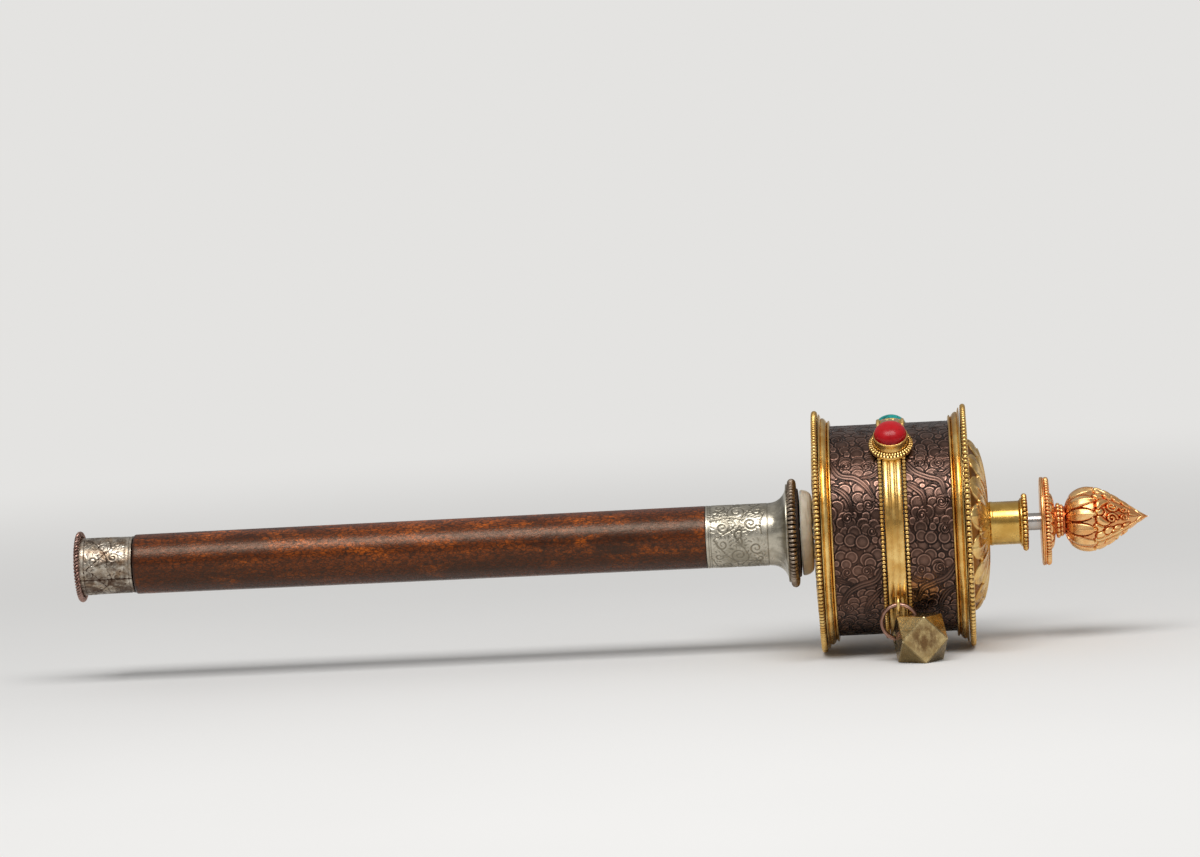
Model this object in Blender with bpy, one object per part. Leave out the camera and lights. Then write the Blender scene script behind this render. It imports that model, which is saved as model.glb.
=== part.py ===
"""Hand-held prayer wheel: a drum that turns on a handled axle, with a swinging weight.

Metres, +Z up. The wheel lies on its drum rims with the axle along +X and the finial at +X.
Stations along the axle are measured from the middle of the drum.
"""

import math

import bmesh
import bpy
from mathutils import Vector

# Fits
SEAM = 0.0003
RUNNING_CLEARANCE = 0.0002

# Handle
GRIP_LENGTH = 0.1597
GRIP_BUTT_RADIUS = 0.00835
GRIP_TOP_RADIUS = 0.0087
GRIP_EDGE = 0.0004
END_CAP_LENGTH = 0.0148
END_CAP_BUTT_RADIUS = 0.0081
END_CAP_MOUTH_RADIUS = 0.00795
END_CAP_WALL = 0.00075
END_DISC_THICKNESS = 0.0009
ROPE_WIRE_RADIUS = 0.0008
END_DISC_PROUD = 0.0001
FERRULE_LENGTH = 0.0232
FERRULE_WALL = 0.0007
FERRULE_FLARE_LENGTH = 0.0044
FERRULE_END_WALL = 0.0035
FLANGE_RADIUS = 0.0142
FLANGE_EDGE = 0.0007
FLANGE_BEAD_RADIUS = 0.0012
FLANGE_BEAD_INSET = 0.0003
AXLE_RADIUS = 0.0024
AXLE_DEPTH_IN_GRIP = 0.0595

# Bearing under the drum
WASHER_THICKNESS = 0.0026
BEARING_RING_WIDTH = 0.0032
BEARING_RING_RADIUS = 0.0120
BEARING_RING_DRUM_RADIUS = 0.0104

# Drum
SHELL_RADIUS = 0.0291
SHELL_WALL = 0.0008
SHELL_BELOW_BAND = 0.0167
SHELL_ABOVE_BAND = 0.0158
RIM_PROJECTION = 0.0045
LOWER_RIM_WIDTH = 0.0031
UPPER_RIM_WIDTH = 0.0032
RIM_STEP_HEIGHTS = (0.0015, 0.0025, 0.0035)
RIM_RISE_SHARES = (0.3, 0.4, 0.65, 0.75)
LOWER_BEAD_RADIUS = 0.00085
UPPER_BEAD_RADIUS = 0.0008
CAP_EDGE_CLEARANCE = 0.0004
LOWER_CAP_EDGE = 0.0013
LOWER_CAP_RISE = 0.0011
LOWER_CAP_RAISED_RADIUS = 0.0240
UPPER_CAP_EDGE = 0.0014
UPPER_DOME_RADIUS = 0.0242
UPPER_DOME_HEIGHT = 0.0052
DOME_WALL = 0.0010
BAND_WIDTH = 0.0052
BAND_BASE = 0.0005
BAND_RIDGE_HEIGHT = 0.0005
BAND_RIDGES = 3
BAND_BEAD_RADIUS = 0.0005
NECK_RADIUS = 0.0060
NECK_WALL = 0.0016
NECK_LENGTH = 0.0087
NECK_FLANGE_RADIUS = 0.0070
NECK_FLANGE_WIDTH = 0.0006
NECK_ROOT_DEPTH = 0.0046
NECK_BEAD_RADIUS = 0.00075
NECK_BEAD_PROUD = 0.00025
LOWER_BUSH_RADIUS = 0.0050
LOWER_BUSH_LENGTH = 0.0080
UPPER_BUSH_HEAD_WIDTH = 0.0012
CORE_CLEARANCE = 0.0008
CORE_WALL = 0.0013
SCROLL_END_CLEARANCE = 0.0013

# Finial
AXLE_SHOWING = 0.0032
DISC_RADIUS = 0.01225
DISC_PLATE = 0.0011
DISC_BOSS_HEIGHT = 0.0016
DISC_BEAD_RADIUS = 0.00075
DISC_BEAD_INSET = 0.0001
HUB_BASE_RADIUS = 0.0077
HUB_TOP_RADIUS = 0.00385
HUB_LENGTH = 0.0012
COLLAR_LENGTH = 0.0021
COLLAR_RADIUS = 0.00495
COLLAR_GROOVE = 0.0007
BUD_LENGTH = 0.0231
BUD_RADIUS = 0.00905
BUD_BASE_RADIUS = 0.0033
BUD_FULLEST = 0.0065
BUD_PETALS = 12
BUD_PETAL_DEPTH = 0.0009
BUD_PETAL_HEIGHT = 0.0124
BUD_CONE_BULGE = 0.9
BUD_BORE_DEPTH = 0.0112

# Stone settings on the belt, as angles up from the front of the drum
STONES = (("coral_front", 54.0), ("turquoise", 130.0), ("coral_back", 206.0))
SETTING_RADIUS = 0.0060
SETTING_BASE_HEIGHT = 0.0009
BEZEL_RADIUS = 0.00475
BEZEL_WALL = 0.0004
BEZEL_HEIGHT = 0.0026
BEZEL_CUP_DEPTH = 0.0014
SETTING_BEAD_RADIUS = 0.0004
STONE_GIRDLE_RADIUS = 0.00445
STONE_HEIGHT = 0.0044

# Swinging weight
LUG_ANGLE = -33.0
EYE_CLEARANCE = 0.0004
EYE_WIRE_RADIUS = 0.00045
SPLIT_RING_RADIUS = 0.0047
SPLIT_RING_WIRE = 0.0009
SPLIT_RING_PITCH = 0.00135
SPLIT_RING_JOG = 60.0
WEIGHT_SIZE = 0.0127
WEIGHT_YAW = 13.0
WEIGHT_EDGE = 0.0002
WEIGHT_SIDE_OFFSET = 0.0054
WEIGHT_BORE_CLEARANCE = 0.0004
WEIGHT_BELT_CLEARANCE = 0.0006

# Beads round each beaded wire, and how far the wire narrows between two of them
ROPE_TWISTS = 40
FLANGE_BEADS = 75
LOWER_RIM_BEADS = 176
UPPER_RIM_BEADS = 140
NECK_BEADS = 38
DISC_BEADS = 76
BEAD_WAIST = 0.68

# Facets round each kind of turned piece
LARGE_ROUND = 36
MEDIUM_ROUND = 24
SMALL_ROUND = 16
WIRE_SIDES = 4
RIM_BEAD_SIDES = 3

# Stations along the axle, outwards from the middle of the drum
LOWER_RIM_FACE = -(SHELL_BELOW_BAND + LOWER_RIM_WIDTH)
LOWER_CAP_INNER = LOWER_RIM_FACE - SEAM
LOWER_CAP_STEP = LOWER_CAP_INNER - LOWER_CAP_EDGE
LOWER_CAP_OUTER = LOWER_CAP_STEP - LOWER_CAP_RISE
BEARING_RING_TOP = LOWER_CAP_OUTER - SEAM
BEARING_RING_FOOT = BEARING_RING_TOP - BEARING_RING_WIDTH
WASHER_TOP = BEARING_RING_FOOT - SEAM
WASHER_FOOT = WASHER_TOP - WASHER_THICKNESS
FLANGE_FACE = WASHER_FOOT - SEAM
FERRULE_MOUTH = FLANGE_FACE - FERRULE_LENGTH
GRIP_TOP = FERRULE_MOUTH - SEAM
GRIP_BUTT = GRIP_TOP - GRIP_LENGTH
END_CAP_MOUTH = GRIP_BUTT - SEAM
END_CAP_BUTT = END_CAP_MOUTH - END_CAP_LENGTH
END_DISC_INNER = END_CAP_BUTT - SEAM
END_FACE = END_DISC_INNER - END_DISC_THICKNESS
UPPER_RIM_FACE = SHELL_ABOVE_BAND + UPPER_RIM_WIDTH
UPPER_CAP_INNER = UPPER_RIM_FACE + SEAM
UPPER_CAP_STEP = UPPER_CAP_INNER + UPPER_CAP_EDGE
DOME_TOP = UPPER_CAP_STEP + UPPER_DOME_HEIGHT
NECK_ROOT = DOME_TOP - NECK_ROOT_DEPTH
NECK_FLANGE = DOME_TOP + NECK_LENGTH
NECK_END = NECK_FLANGE + NECK_FLANGE_WIDTH
NECK_BEADS_END = NECK_END + SEAM + 2 * NECK_BEAD_RADIUS
UPPER_BUSH_HEAD = NECK_END + SEAM
UPPER_BUSH_FOOT = NECK_ROOT - SEAM
LOWER_BUSH_TOP = LOWER_CAP_OUTER + SEAM + LOWER_BUSH_LENGTH
CORE_FOOT = LOWER_BUSH_TOP + SEAM
CORE_TOP = UPPER_BUSH_FOOT - SEAM
DISC_FACE = NECK_BEADS_END + AXLE_SHOWING
DISC_PLATE_TOP = DISC_FACE + DISC_PLATE
DISC_BOSS_TOP = DISC_PLATE_TOP + DISC_BOSS_HEIGHT
HUB_TOP = DISC_BOSS_TOP + HUB_LENGTH
COLLAR_FOOT = HUB_TOP + SEAM
COLLAR_TOP = COLLAR_FOOT + COLLAR_LENGTH
BUD_FOOT = COLLAR_TOP + SEAM
BUD_TIP = BUD_FOOT + BUD_LENGTH

# Radii that follow from the pieces they fit
FIXED_BORE = AXLE_RADIUS + SEAM
RUNNING_BORE = AXLE_RADIUS + RUNNING_CLEARANCE
RIM_BORE = SHELL_RADIUS + SEAM
BAND_BORE = SHELL_RADIUS + SEAM
BAND_CREST = BAND_BORE + BAND_BASE + BAND_RIDGE_HEIGHT
RIM_RADIUS = SHELL_RADIUS + RIM_PROJECTION
FERRULE_BORE = GRIP_TOP_RADIUS - FERRULE_WALL
TOP_TENON_RADIUS = FERRULE_BORE - SEAM
END_CAP_BORE = END_CAP_MOUTH_RADIUS - END_CAP_WALL
BUTT_TENON_RADIUS = END_CAP_BORE - SEAM
FLANGE_BEAD_RING_RADIUS = FLANGE_RADIUS - FLANGE_BEAD_INSET
WASHER_RADIUS = FLANGE_BEAD_RING_RADIUS - FLANGE_BEAD_RADIUS - SEAM
NECK_BORE_RADIUS = NECK_RADIUS - NECK_WALL
NECK_BEAD_RING_RADIUS = NECK_FLANGE_RADIUS + NECK_BEAD_PROUD
UPPER_BUSH_HEAD_RADIUS = NECK_BEAD_RING_RADIUS - NECK_BEAD_RADIUS - SEAM
CORE_BORE_RADIUS = AXLE_RADIUS + CORE_CLEARANCE
CORE_RADIUS = CORE_BORE_RADIUS + CORE_WALL
DISC_BEAD_RING_RADIUS = DISC_RADIUS - DISC_BEAD_INSET - DISC_BEAD_RADIUS
DISC_BOSS_RADIUS = DISC_BEAD_RING_RADIUS - DISC_BEAD_RADIUS - SEAM
CAP_RADIUS = RIM_RADIUS - 2 * UPPER_BEAD_RADIUS - CAP_EDGE_CLEARANCE
RING_SECTION_RADIUS = math.hypot((SPLIT_RING_PITCH + SPLIT_RING_WIRE) / 2, SPLIT_RING_WIRE / 2)
EYE_HOLE_RADIUS = RING_SECTION_RADIUS + EYE_CLEARANCE
EYE_OUTER_RADIUS = EYE_HOLE_RADIUS + 2 * EYE_WIRE_RADIUS
EYE_CENTRE = BAND_CREST + SEAM + EYE_OUTER_RADIUS

# Places in the world: the rims stand on z = 0 and the length is centred on x = 0
AXIS_HEIGHT = RIM_RADIUS * math.cos(math.pi / LOWER_RIM_BEADS)
DRUM_MIDDLE = -(END_FACE + BUD_TIP) / 2


def srgb(red, green, blue):
    """Linear colour of an 8-bit display colour."""
    linear = [((value / 255 + 0.055) / 1.055) ** 2.4 for value in (red, green, blue)]
    return (*linear, 1.0)


def make_material(name, color, roughness, metallic):
    material = bpy.data.materials.new(name)
    material.use_nodes = True
    shader = material.node_tree.nodes["Principled BSDF"]
    shader.inputs["Base Color"].default_value = color
    shader.inputs["Roughness"].default_value = roughness
    shader.inputs["Metallic"].default_value = metallic
    material.diffuse_color = color
    return material


def add_empty(name, location, parent=None):
    empty = bpy.data.objects.new(name, None)
    empty.location = location
    empty.parent = parent
    bpy.context.scene.collection.objects.link(empty)
    return empty


def add_object(name, data, material, parent):
    piece = bpy.data.objects.new(name, data)
    piece.parent = parent
    data.materials.append(material)
    bpy.context.scene.collection.objects.link(piece)
    return piece


def mesh_from(bm, name, smooth_angle=35.0):
    bmesh.ops.recalc_face_normals(bm, faces=bm.faces)
    mesh = bpy.data.meshes.new(name)
    bm.to_mesh(mesh)
    bm.free()
    mesh.shade_smooth()
    mesh.set_sharp_from_angle(angle=math.radians(smooth_angle))
    return mesh


def turned_mesh(name, profile, segments, reshape=None):
    """Spin a profile of (station, radius) points round the X axis.

    A profile that starts on the axis is open and ends on the axis, any other is a closed loop.
    A flat facet faces straight down. reshape moves each point of the finished form.
    """
    bm = bmesh.new()
    half_facet = math.pi / segments
    points = []
    for station, radius in profile:
        y = radius * math.sin(half_facet)
        z = -radius * math.cos(half_facet)
        points.append(bm.verts.new((station, y, z)))
    edges = [bm.edges.new(pair) for pair in zip(points, points[1:])]
    if profile[0][1] > 0:
        edges.append(bm.edges.new((points[-1], points[0])))
    bmesh.ops.spin(
        bm,
        geom=points + edges,
        cent=(0, 0, 0),
        axis=(1, 0, 0),
        angle=2 * math.pi,
        steps=segments,
        use_merge=True,
    )
    bmesh.ops.remove_doubles(bm, verts=bm.verts, dist=1e-6)
    if reshape:
        for vertex in bm.verts:
            vertex.co = reshape(vertex.co)
    return mesh_from(bm, name)


def add_turned(name, profile, segments, material, parent, reshape=None):
    return add_object(name, turned_mesh(name, profile, segments, reshape), material, parent)


def ring_profile(station, ring_radius, wire_radius, sides=WIRE_SIDES):
    """Round wire section, as a closed loop."""
    loop = []
    for side in range(sides):
        angle = 2 * math.pi * side / sides
        loop.append((station + wire_radius * math.sin(angle), ring_radius + wire_radius * math.cos(angle)))
    return loop


def add_wire_ring(name, station, ring_radius, wire_radius, segments, material, parent):
    profile = ring_profile(station, ring_radius, wire_radius)
    return add_turned(name, profile, segments, material, parent)


def add_beaded_wire(name, station, ring_radius, wire_radius, beads, sides, material, parent):
    """Closed wire that swells into beads, with the waist between two of them straight down."""
    bm = bmesh.new()
    rings = []
    for index in range(2 * beads):
        turn = math.pi * index / beads
        swell = 1.0 if index % 2 else BEAD_WAIST
        ring = []
        for along, radius in ring_profile(station, ring_radius, wire_radius * swell, sides):
            ring.append(bm.verts.new((along, radius * math.sin(turn), -radius * math.cos(turn))))
        rings.append(ring)
    for ring, following in zip(rings, rings[1:] + rings[:1]):
        for side in range(sides):
            beside = (side + 1) % sides
            bm.faces.new((ring[side], ring[beside], following[beside], following[side]))
    return add_object(name, mesh_from(bm, name), material, parent)


def concave_flare(start, end, steps):
    """Quarter-ellipse sweep from along the axle to square to it."""
    points = []
    for step in range(steps + 1):
        angle = math.pi / 2 * step / steps
        station = start[0] + (end[0] - start[0]) * math.sin(angle)
        radius = start[1] + (end[1] - start[1]) * (1 - math.cos(angle))
        points.append((station, radius))
    return points


def dome(start, end, steps):
    """Quarter-ellipse crown from square to the start face to flat at the end."""
    points = []
    for step in range(steps + 1):
        angle = math.pi / 2 * step / steps
        station = start[0] + (end[0] - start[0]) * math.sin(angle)
        radius = end[1] + (start[1] - end[1]) * math.cos(angle)
        points.append((station, radius))
    return points


def make_cutter(piece):
    piece.hide_render = True
    piece.display_type = "WIRE"
    return piece


def cut(piece, cutter):
    modifier = piece.modifiers.new("cut", "BOOLEAN")
    modifier.operation = "DIFFERENCE"
    modifier.solver = "EXACT"
    modifier.object = cutter


def build_handle(parent, finish):
    grip = [
        (END_DISC_INNER + SEAM, 0),
        (END_DISC_INNER + SEAM, BUTT_TENON_RADIUS),
        (GRIP_BUTT, BUTT_TENON_RADIUS),
        (GRIP_BUTT, GRIP_BUTT_RADIUS - GRIP_EDGE),
        (GRIP_BUTT + GRIP_EDGE, GRIP_BUTT_RADIUS),
        (GRIP_TOP - GRIP_EDGE, GRIP_TOP_RADIUS),
        (GRIP_TOP, GRIP_TOP_RADIUS - GRIP_EDGE),
        (GRIP_TOP, TOP_TENON_RADIUS),
        (FLANGE_FACE - FERRULE_END_WALL - SEAM, TOP_TENON_RADIUS),
        (FLANGE_FACE - FERRULE_END_WALL - SEAM, FIXED_BORE),
        (GRIP_TOP - AXLE_DEPTH_IN_GRIP - SEAM, FIXED_BORE),
        (GRIP_TOP - AXLE_DEPTH_IN_GRIP - SEAM, 0),
    ]
    add_turned("grip", grip, MEDIUM_ROUND, finish["wood"], parent)

    end_cap = [
        (END_CAP_BUTT, END_CAP_BORE),
        (END_CAP_BUTT, END_CAP_BUTT_RADIUS),
        (END_CAP_MOUTH, END_CAP_MOUTH_RADIUS),
        (END_CAP_MOUTH, END_CAP_BORE),
    ]
    add_turned("end_cap", end_cap, MEDIUM_ROUND, finish["silvered_copper"], parent)

    end_disc = [
        (END_FACE, 0),
        (END_FACE, END_CAP_BUTT_RADIUS),
        (END_DISC_INNER, END_CAP_BUTT_RADIUS),
        (END_DISC_INNER, 0),
    ]
    add_turned("end_cap_disc", end_disc, MEDIUM_ROUND, finish["silvered_copper_disc"], parent)

    rope_station = END_FACE + END_DISC_PROUD + ROPE_WIRE_RADIUS
    rope_radius = END_CAP_BUTT_RADIUS + SEAM + ROPE_WIRE_RADIUS
    add_beaded_wire("end_cap_rope_ring", rope_station, rope_radius, ROPE_WIRE_RADIUS, ROPE_TWISTS,
                    WIRE_SIDES, finish["rope_wire"], parent)

    flare_start = (FLANGE_FACE - FLANGE_EDGE - FERRULE_FLARE_LENGTH, GRIP_TOP_RADIUS)
    flare = concave_flare(flare_start, (FLANGE_FACE - FLANGE_EDGE, FLANGE_RADIUS), 5)
    ferrule = [
        (FERRULE_MOUTH, FERRULE_BORE),
        (FERRULE_MOUTH, GRIP_TOP_RADIUS),
        *flare,
        (FLANGE_FACE, FLANGE_RADIUS),
        (FLANGE_FACE, FIXED_BORE),
        (FLANGE_FACE - FERRULE_END_WALL, FIXED_BORE),
        (FLANGE_FACE - FERRULE_END_WALL, FERRULE_BORE),
    ]
    add_turned("ferrule", ferrule, MEDIUM_ROUND, finish["white_metal"], parent)
    add_beaded_wire("ferrule_bead_ring", FLANGE_FACE + SEAM + FLANGE_BEAD_RADIUS, FLANGE_BEAD_RING_RADIUS,
                    FLANGE_BEAD_RADIUS, FLANGE_BEADS, WIRE_SIDES, finish["dark_steel"], parent)

    washer = [
        (WASHER_FOOT, FIXED_BORE),
        (WASHER_FOOT, WASHER_RADIUS),
        (WASHER_TOP, WASHER_RADIUS),
        (WASHER_TOP, FIXED_BORE),
    ]
    add_turned("bearing_washer", washer, MEDIUM_ROUND, finish["dark_leather"], parent)

    axle = [
        (GRIP_TOP - AXLE_DEPTH_IN_GRIP, 0),
        (GRIP_TOP - AXLE_DEPTH_IN_GRIP, AXLE_RADIUS),
        (BUD_FOOT + BUD_BORE_DEPTH - SEAM, AXLE_RADIUS),
        (BUD_FOOT + BUD_BORE_DEPTH - SEAM, 0),
    ]
    add_turned("axle", axle, SMALL_ROUND, finish["steel"], parent)


def bud_outline():
    """Bud side from its foot to its tip: a round shoulder, then a pointed cone."""
    shoulder = []
    for step in range(5):
        angle = math.pi / 2 * step / 4
        station = BUD_FULLEST * (1 - math.cos(angle))
        radius = BUD_BASE_RADIUS + (BUD_RADIUS - BUD_BASE_RADIUS) * math.sin(angle)
        shoulder.append((BUD_FOOT + station, radius))
    cone = []
    cone_length = BUD_LENGTH - BUD_FULLEST
    for step in range(1, 7):
        share = step / 6
        radius = BUD_RADIUS * (1 - share) * (1 + BUD_CONE_BULGE * share * (1 - share))
        cone.append((BUD_FOOT + BUD_FULLEST + cone_length * share, radius))
    return shoulder + cone


def bud_petals(point):
    """Press grooves between the petals into the bud's lower half."""
    height = point.x - BUD_FOOT
    radius = math.hypot(point.y, point.z)
    if radius <= FIXED_BORE + SEAM or not 0 < height < BUD_PETAL_HEIGHT:
        return point
    groove = abs(math.sin(BUD_PETALS / 2 * math.atan2(point.z, point.y)))
    depth = BUD_PETAL_DEPTH * math.sin(math.pi * height / BUD_PETAL_HEIGHT) * (1 - groove)
    share = (radius - depth) / radius
    return Vector((point.x, point.y * share, point.z * share))


def build_finial(parent, finish):
    hub = concave_flare((HUB_TOP, HUB_TOP_RADIUS), (DISC_BOSS_TOP, HUB_BASE_RADIUS), 3)
    disc = [
        (DISC_FACE, FIXED_BORE),
        (DISC_FACE, DISC_RADIUS),
        (DISC_PLATE_TOP, DISC_RADIUS),
        (DISC_PLATE_TOP, DISC_BOSS_RADIUS),
        (DISC_BOSS_TOP, DISC_BOSS_RADIUS - DISC_BOSS_HEIGHT),
        *reversed(hub),
        (HUB_TOP, FIXED_BORE),
    ]
    add_turned("finial_disc", disc, MEDIUM_ROUND, finish["copper_gilt_disc"], parent)
    add_beaded_wire("finial_disc_beads", DISC_PLATE_TOP + SEAM + DISC_BEAD_RADIUS, DISC_BEAD_RING_RADIUS,
                    DISC_BEAD_RADIUS, DISC_BEADS, WIRE_SIDES, finish["copper_gilt_beads"], parent)

    row = COLLAR_LENGTH / 2
    collar = [
        (COLLAR_FOOT, FIXED_BORE),
        (COLLAR_FOOT, COLLAR_RADIUS - COLLAR_GROOVE),
        (COLLAR_FOOT + row / 2, COLLAR_RADIUS),
        (COLLAR_FOOT + row, COLLAR_RADIUS - COLLAR_GROOVE),
        (COLLAR_FOOT + 3 * row / 2, COLLAR_RADIUS),
        (COLLAR_TOP, COLLAR_RADIUS - COLLAR_GROOVE),
        (COLLAR_TOP, FIXED_BORE),
    ]
    add_turned("finial_collar", collar, SMALL_ROUND, finish["copper_gilt_collar"], parent)

    bud = [
        (BUD_FOOT + BUD_BORE_DEPTH, 0),
        (BUD_FOOT + BUD_BORE_DEPTH, FIXED_BORE),
        (BUD_FOOT, FIXED_BORE),
        *bud_outline(),
    ]
    add_turned("finial_bud", bud, 4 * BUD_PETALS, finish["copper_gilt_bud"], parent, bud_petals)


def build_bearing_ring(parent, finish):
    crown = dome((BEARING_RING_FOOT, BEARING_RING_RADIUS), (BEARING_RING_TOP, BEARING_RING_DRUM_RADIUS), 4)
    profile = [
        (BEARING_RING_FOOT, RUNNING_BORE),
        *crown,
        (BEARING_RING_TOP, RUNNING_BORE),
    ]
    add_turned("bearing_ring", profile, MEDIUM_ROUND, finish["conch"], parent)


def rim_profile(shell_side, face):
    """Stepped moulding from the shell out to the face that carries the beaded wire."""
    width = face - shell_side
    low, middle, high = (SHELL_RADIUS + height for height in RIM_STEP_HEIGHTS)
    first_foot, first_top, second_foot, second_top = (shell_side + width * share for share in RIM_RISE_SHARES)
    return [
        (shell_side, RIM_BORE),
        (shell_side, low),
        (first_foot, low),
        (first_top, middle),
        (second_foot, middle),
        (second_top, high),
        (face, high),
        (face, RIM_BORE),
    ]


def build_drum_ends(parent, finish):
    add_turned("lower_rim", rim_profile(-SHELL_BELOW_BAND, LOWER_RIM_FACE), LARGE_ROUND,
               finish["gilt_lower_rim"], parent)
    add_turned("upper_rim", rim_profile(SHELL_ABOVE_BAND, UPPER_RIM_FACE), LARGE_ROUND,
               finish["gilt_upper_rim"], parent)
    add_beaded_wire("lower_rim_beads", LOWER_RIM_FACE - SEAM - LOWER_BEAD_RADIUS,
                    RIM_RADIUS - LOWER_BEAD_RADIUS, LOWER_BEAD_RADIUS, LOWER_RIM_BEADS, RIM_BEAD_SIDES,
                    finish["gilt_lower_beads"], parent)
    add_beaded_wire("upper_rim_beads", UPPER_RIM_FACE + SEAM + UPPER_BEAD_RADIUS,
                    RIM_RADIUS - UPPER_BEAD_RADIUS, UPPER_BEAD_RADIUS, UPPER_RIM_BEADS, RIM_BEAD_SIDES,
                    finish["gilt_upper_beads"], parent)

    bush_hole = LOWER_BUSH_RADIUS + SEAM
    lower_cap = [
        (LOWER_CAP_INNER, bush_hole),
        (LOWER_CAP_INNER, CAP_RADIUS),
        (LOWER_CAP_STEP, CAP_RADIUS),
        (LOWER_CAP_STEP, LOWER_CAP_RAISED_RADIUS),
        (LOWER_CAP_OUTER, LOWER_CAP_RAISED_RADIUS - 2 * LOWER_CAP_RISE),
        (LOWER_CAP_OUTER, bush_hole),
    ]
    add_turned("lower_cap", lower_cap, LARGE_ROUND, finish["gilt_lower_cap"], parent)

    neck_hole = NECK_RADIUS + SEAM
    outer = dome((UPPER_CAP_STEP, UPPER_DOME_RADIUS), (DOME_TOP, neck_hole), 4)
    inner = dome((UPPER_CAP_INNER, UPPER_DOME_RADIUS - DOME_WALL), (DOME_TOP - DOME_WALL, neck_hole), 4)
    upper_cap = [
        (UPPER_CAP_INNER, CAP_RADIUS),
        (UPPER_CAP_STEP, CAP_RADIUS),
        *outer,
        *reversed(inner),
    ]
    add_turned("upper_cap", upper_cap, LARGE_ROUND, finish["gilt_upper_cap"], parent)


def build_drum_wall(parent, finish):
    shell = [
        (LOWER_RIM_FACE, SHELL_RADIUS - SHELL_WALL),
        (LOWER_RIM_FACE, SHELL_RADIUS),
        (UPPER_RIM_FACE, SHELL_RADIUS),
        (UPPER_RIM_FACE, SHELL_RADIUS - SHELL_WALL),
    ]
    add_turned("drum_shell", shell, LARGE_ROUND, finish["dark_copper"], parent)

    half = BAND_WIDTH / 2
    ridge = BAND_WIDTH / BAND_RIDGES
    crest = []
    for index in range(BAND_RIDGES):
        crest.append((-half + index * ridge, BAND_BORE + BAND_BASE))
        crest.append((-half + (index + 0.5) * ridge, BAND_CREST))
    band = [(-half, BAND_BORE), *crest, (half, BAND_BORE + BAND_BASE), (half, BAND_BORE)]
    add_turned("center_band", band, LARGE_ROUND, finish["gilt_band"], parent)
    for name, side in (("band_beads_lower", -1), ("band_beads_upper", 1)):
        station = side * (half + SEAM + BAND_BEAD_RADIUS)
        add_wire_ring(name, station, BAND_BORE + BAND_BEAD_RADIUS, BAND_BEAD_RADIUS, LARGE_ROUND,
                      finish["gilt_" + name], parent)


def build_neck_and_core(parent, finish):
    neck = [
        (NECK_ROOT, NECK_BORE_RADIUS),
        (NECK_ROOT, NECK_RADIUS),
        (NECK_FLANGE - NECK_FLANGE_WIDTH, NECK_RADIUS),
        (NECK_FLANGE, NECK_FLANGE_RADIUS),
        (NECK_END, NECK_FLANGE_RADIUS),
        (NECK_END, NECK_BORE_RADIUS),
    ]
    add_turned("neck_tube", neck, MEDIUM_ROUND, finish["brass_neck"], parent)
    add_beaded_wire("neck_bead_ring", NECK_END + SEAM + NECK_BEAD_RADIUS, NECK_BEAD_RING_RADIUS,
                    NECK_BEAD_RADIUS, NECK_BEADS, WIRE_SIDES, finish["gilt_neck_beads"], parent)

    upper_bush = [
        (UPPER_BUSH_FOOT, RUNNING_BORE),
        (UPPER_BUSH_FOOT, NECK_BORE_RADIUS - SEAM),
        (UPPER_BUSH_HEAD, NECK_BORE_RADIUS - SEAM),
        (UPPER_BUSH_HEAD, UPPER_BUSH_HEAD_RADIUS),
        (UPPER_BUSH_HEAD + UPPER_BUSH_HEAD_WIDTH, UPPER_BUSH_HEAD_RADIUS),
        (UPPER_BUSH_HEAD + UPPER_BUSH_HEAD_WIDTH, RUNNING_BORE),
    ]
    add_turned("upper_bush", upper_bush, SMALL_ROUND, finish["brass_upper_bush"], parent)

    lower_bush = [
        (LOWER_CAP_OUTER + SEAM, RUNNING_BORE),
        (LOWER_CAP_OUTER + SEAM, LOWER_BUSH_RADIUS),
        (LOWER_BUSH_TOP, LOWER_BUSH_RADIUS),
        (LOWER_BUSH_TOP, RUNNING_BORE),
    ]
    add_turned("lower_bush", lower_bush, SMALL_ROUND, finish["brass_lower_bush"], parent)

    core = [
        (CORE_FOOT, CORE_BORE_RADIUS),
        (CORE_FOOT, CORE_RADIUS),
        (CORE_TOP, CORE_RADIUS),
        (CORE_TOP, CORE_BORE_RADIUS),
    ]
    add_turned("core_tube", core, SMALL_ROUND, finish["core_metal"], parent)

    scroll_top = UPPER_CAP_INNER - SCROLL_END_CLEARANCE
    scroll = [
        (CORE_FOOT, CORE_RADIUS + SEAM),
        (CORE_FOOT, SHELL_RADIUS - SHELL_WALL - SEAM),
        (scroll_top, SHELL_RADIUS - SHELL_WALL - SEAM),
        (scroll_top, CORE_RADIUS + SEAM),
    ]
    add_turned("scroll", scroll, MEDIUM_ROUND, finish["paper"], parent)


def saddle_cutter(parent, finish):
    """The belt and shell with a seam's clearance, which a setting's foot is cut to."""
    belt_half = BAND_WIDTH / 2 + SEAM + 2 * BAND_BEAD_RADIUS + SEAM
    belt_clear = BAND_CREST + SEAM
    reach = 2 * SETTING_RADIUS
    profile = [
        (-reach, 0),
        (-reach, SHELL_RADIUS + SEAM),
        (-belt_half, SHELL_RADIUS + SEAM),
        (-belt_half, belt_clear),
        (belt_half, belt_clear),
        (belt_half, SHELL_RADIUS + SEAM),
        (reach, SHELL_RADIUS + SEAM),
        (reach, 0),
    ]
    return make_cutter(add_turned("saddle_cutter", profile, LARGE_ROUND, finish["gilt_setting"], parent))


def face_outwards(piece, angle):
    """Point a piece's X axis out from the axle, at an angle up from the front."""
    piece.rotation_mode = "ZYX"
    piece.rotation_euler = (-math.radians(angle), 0, -math.pi / 2)


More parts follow.
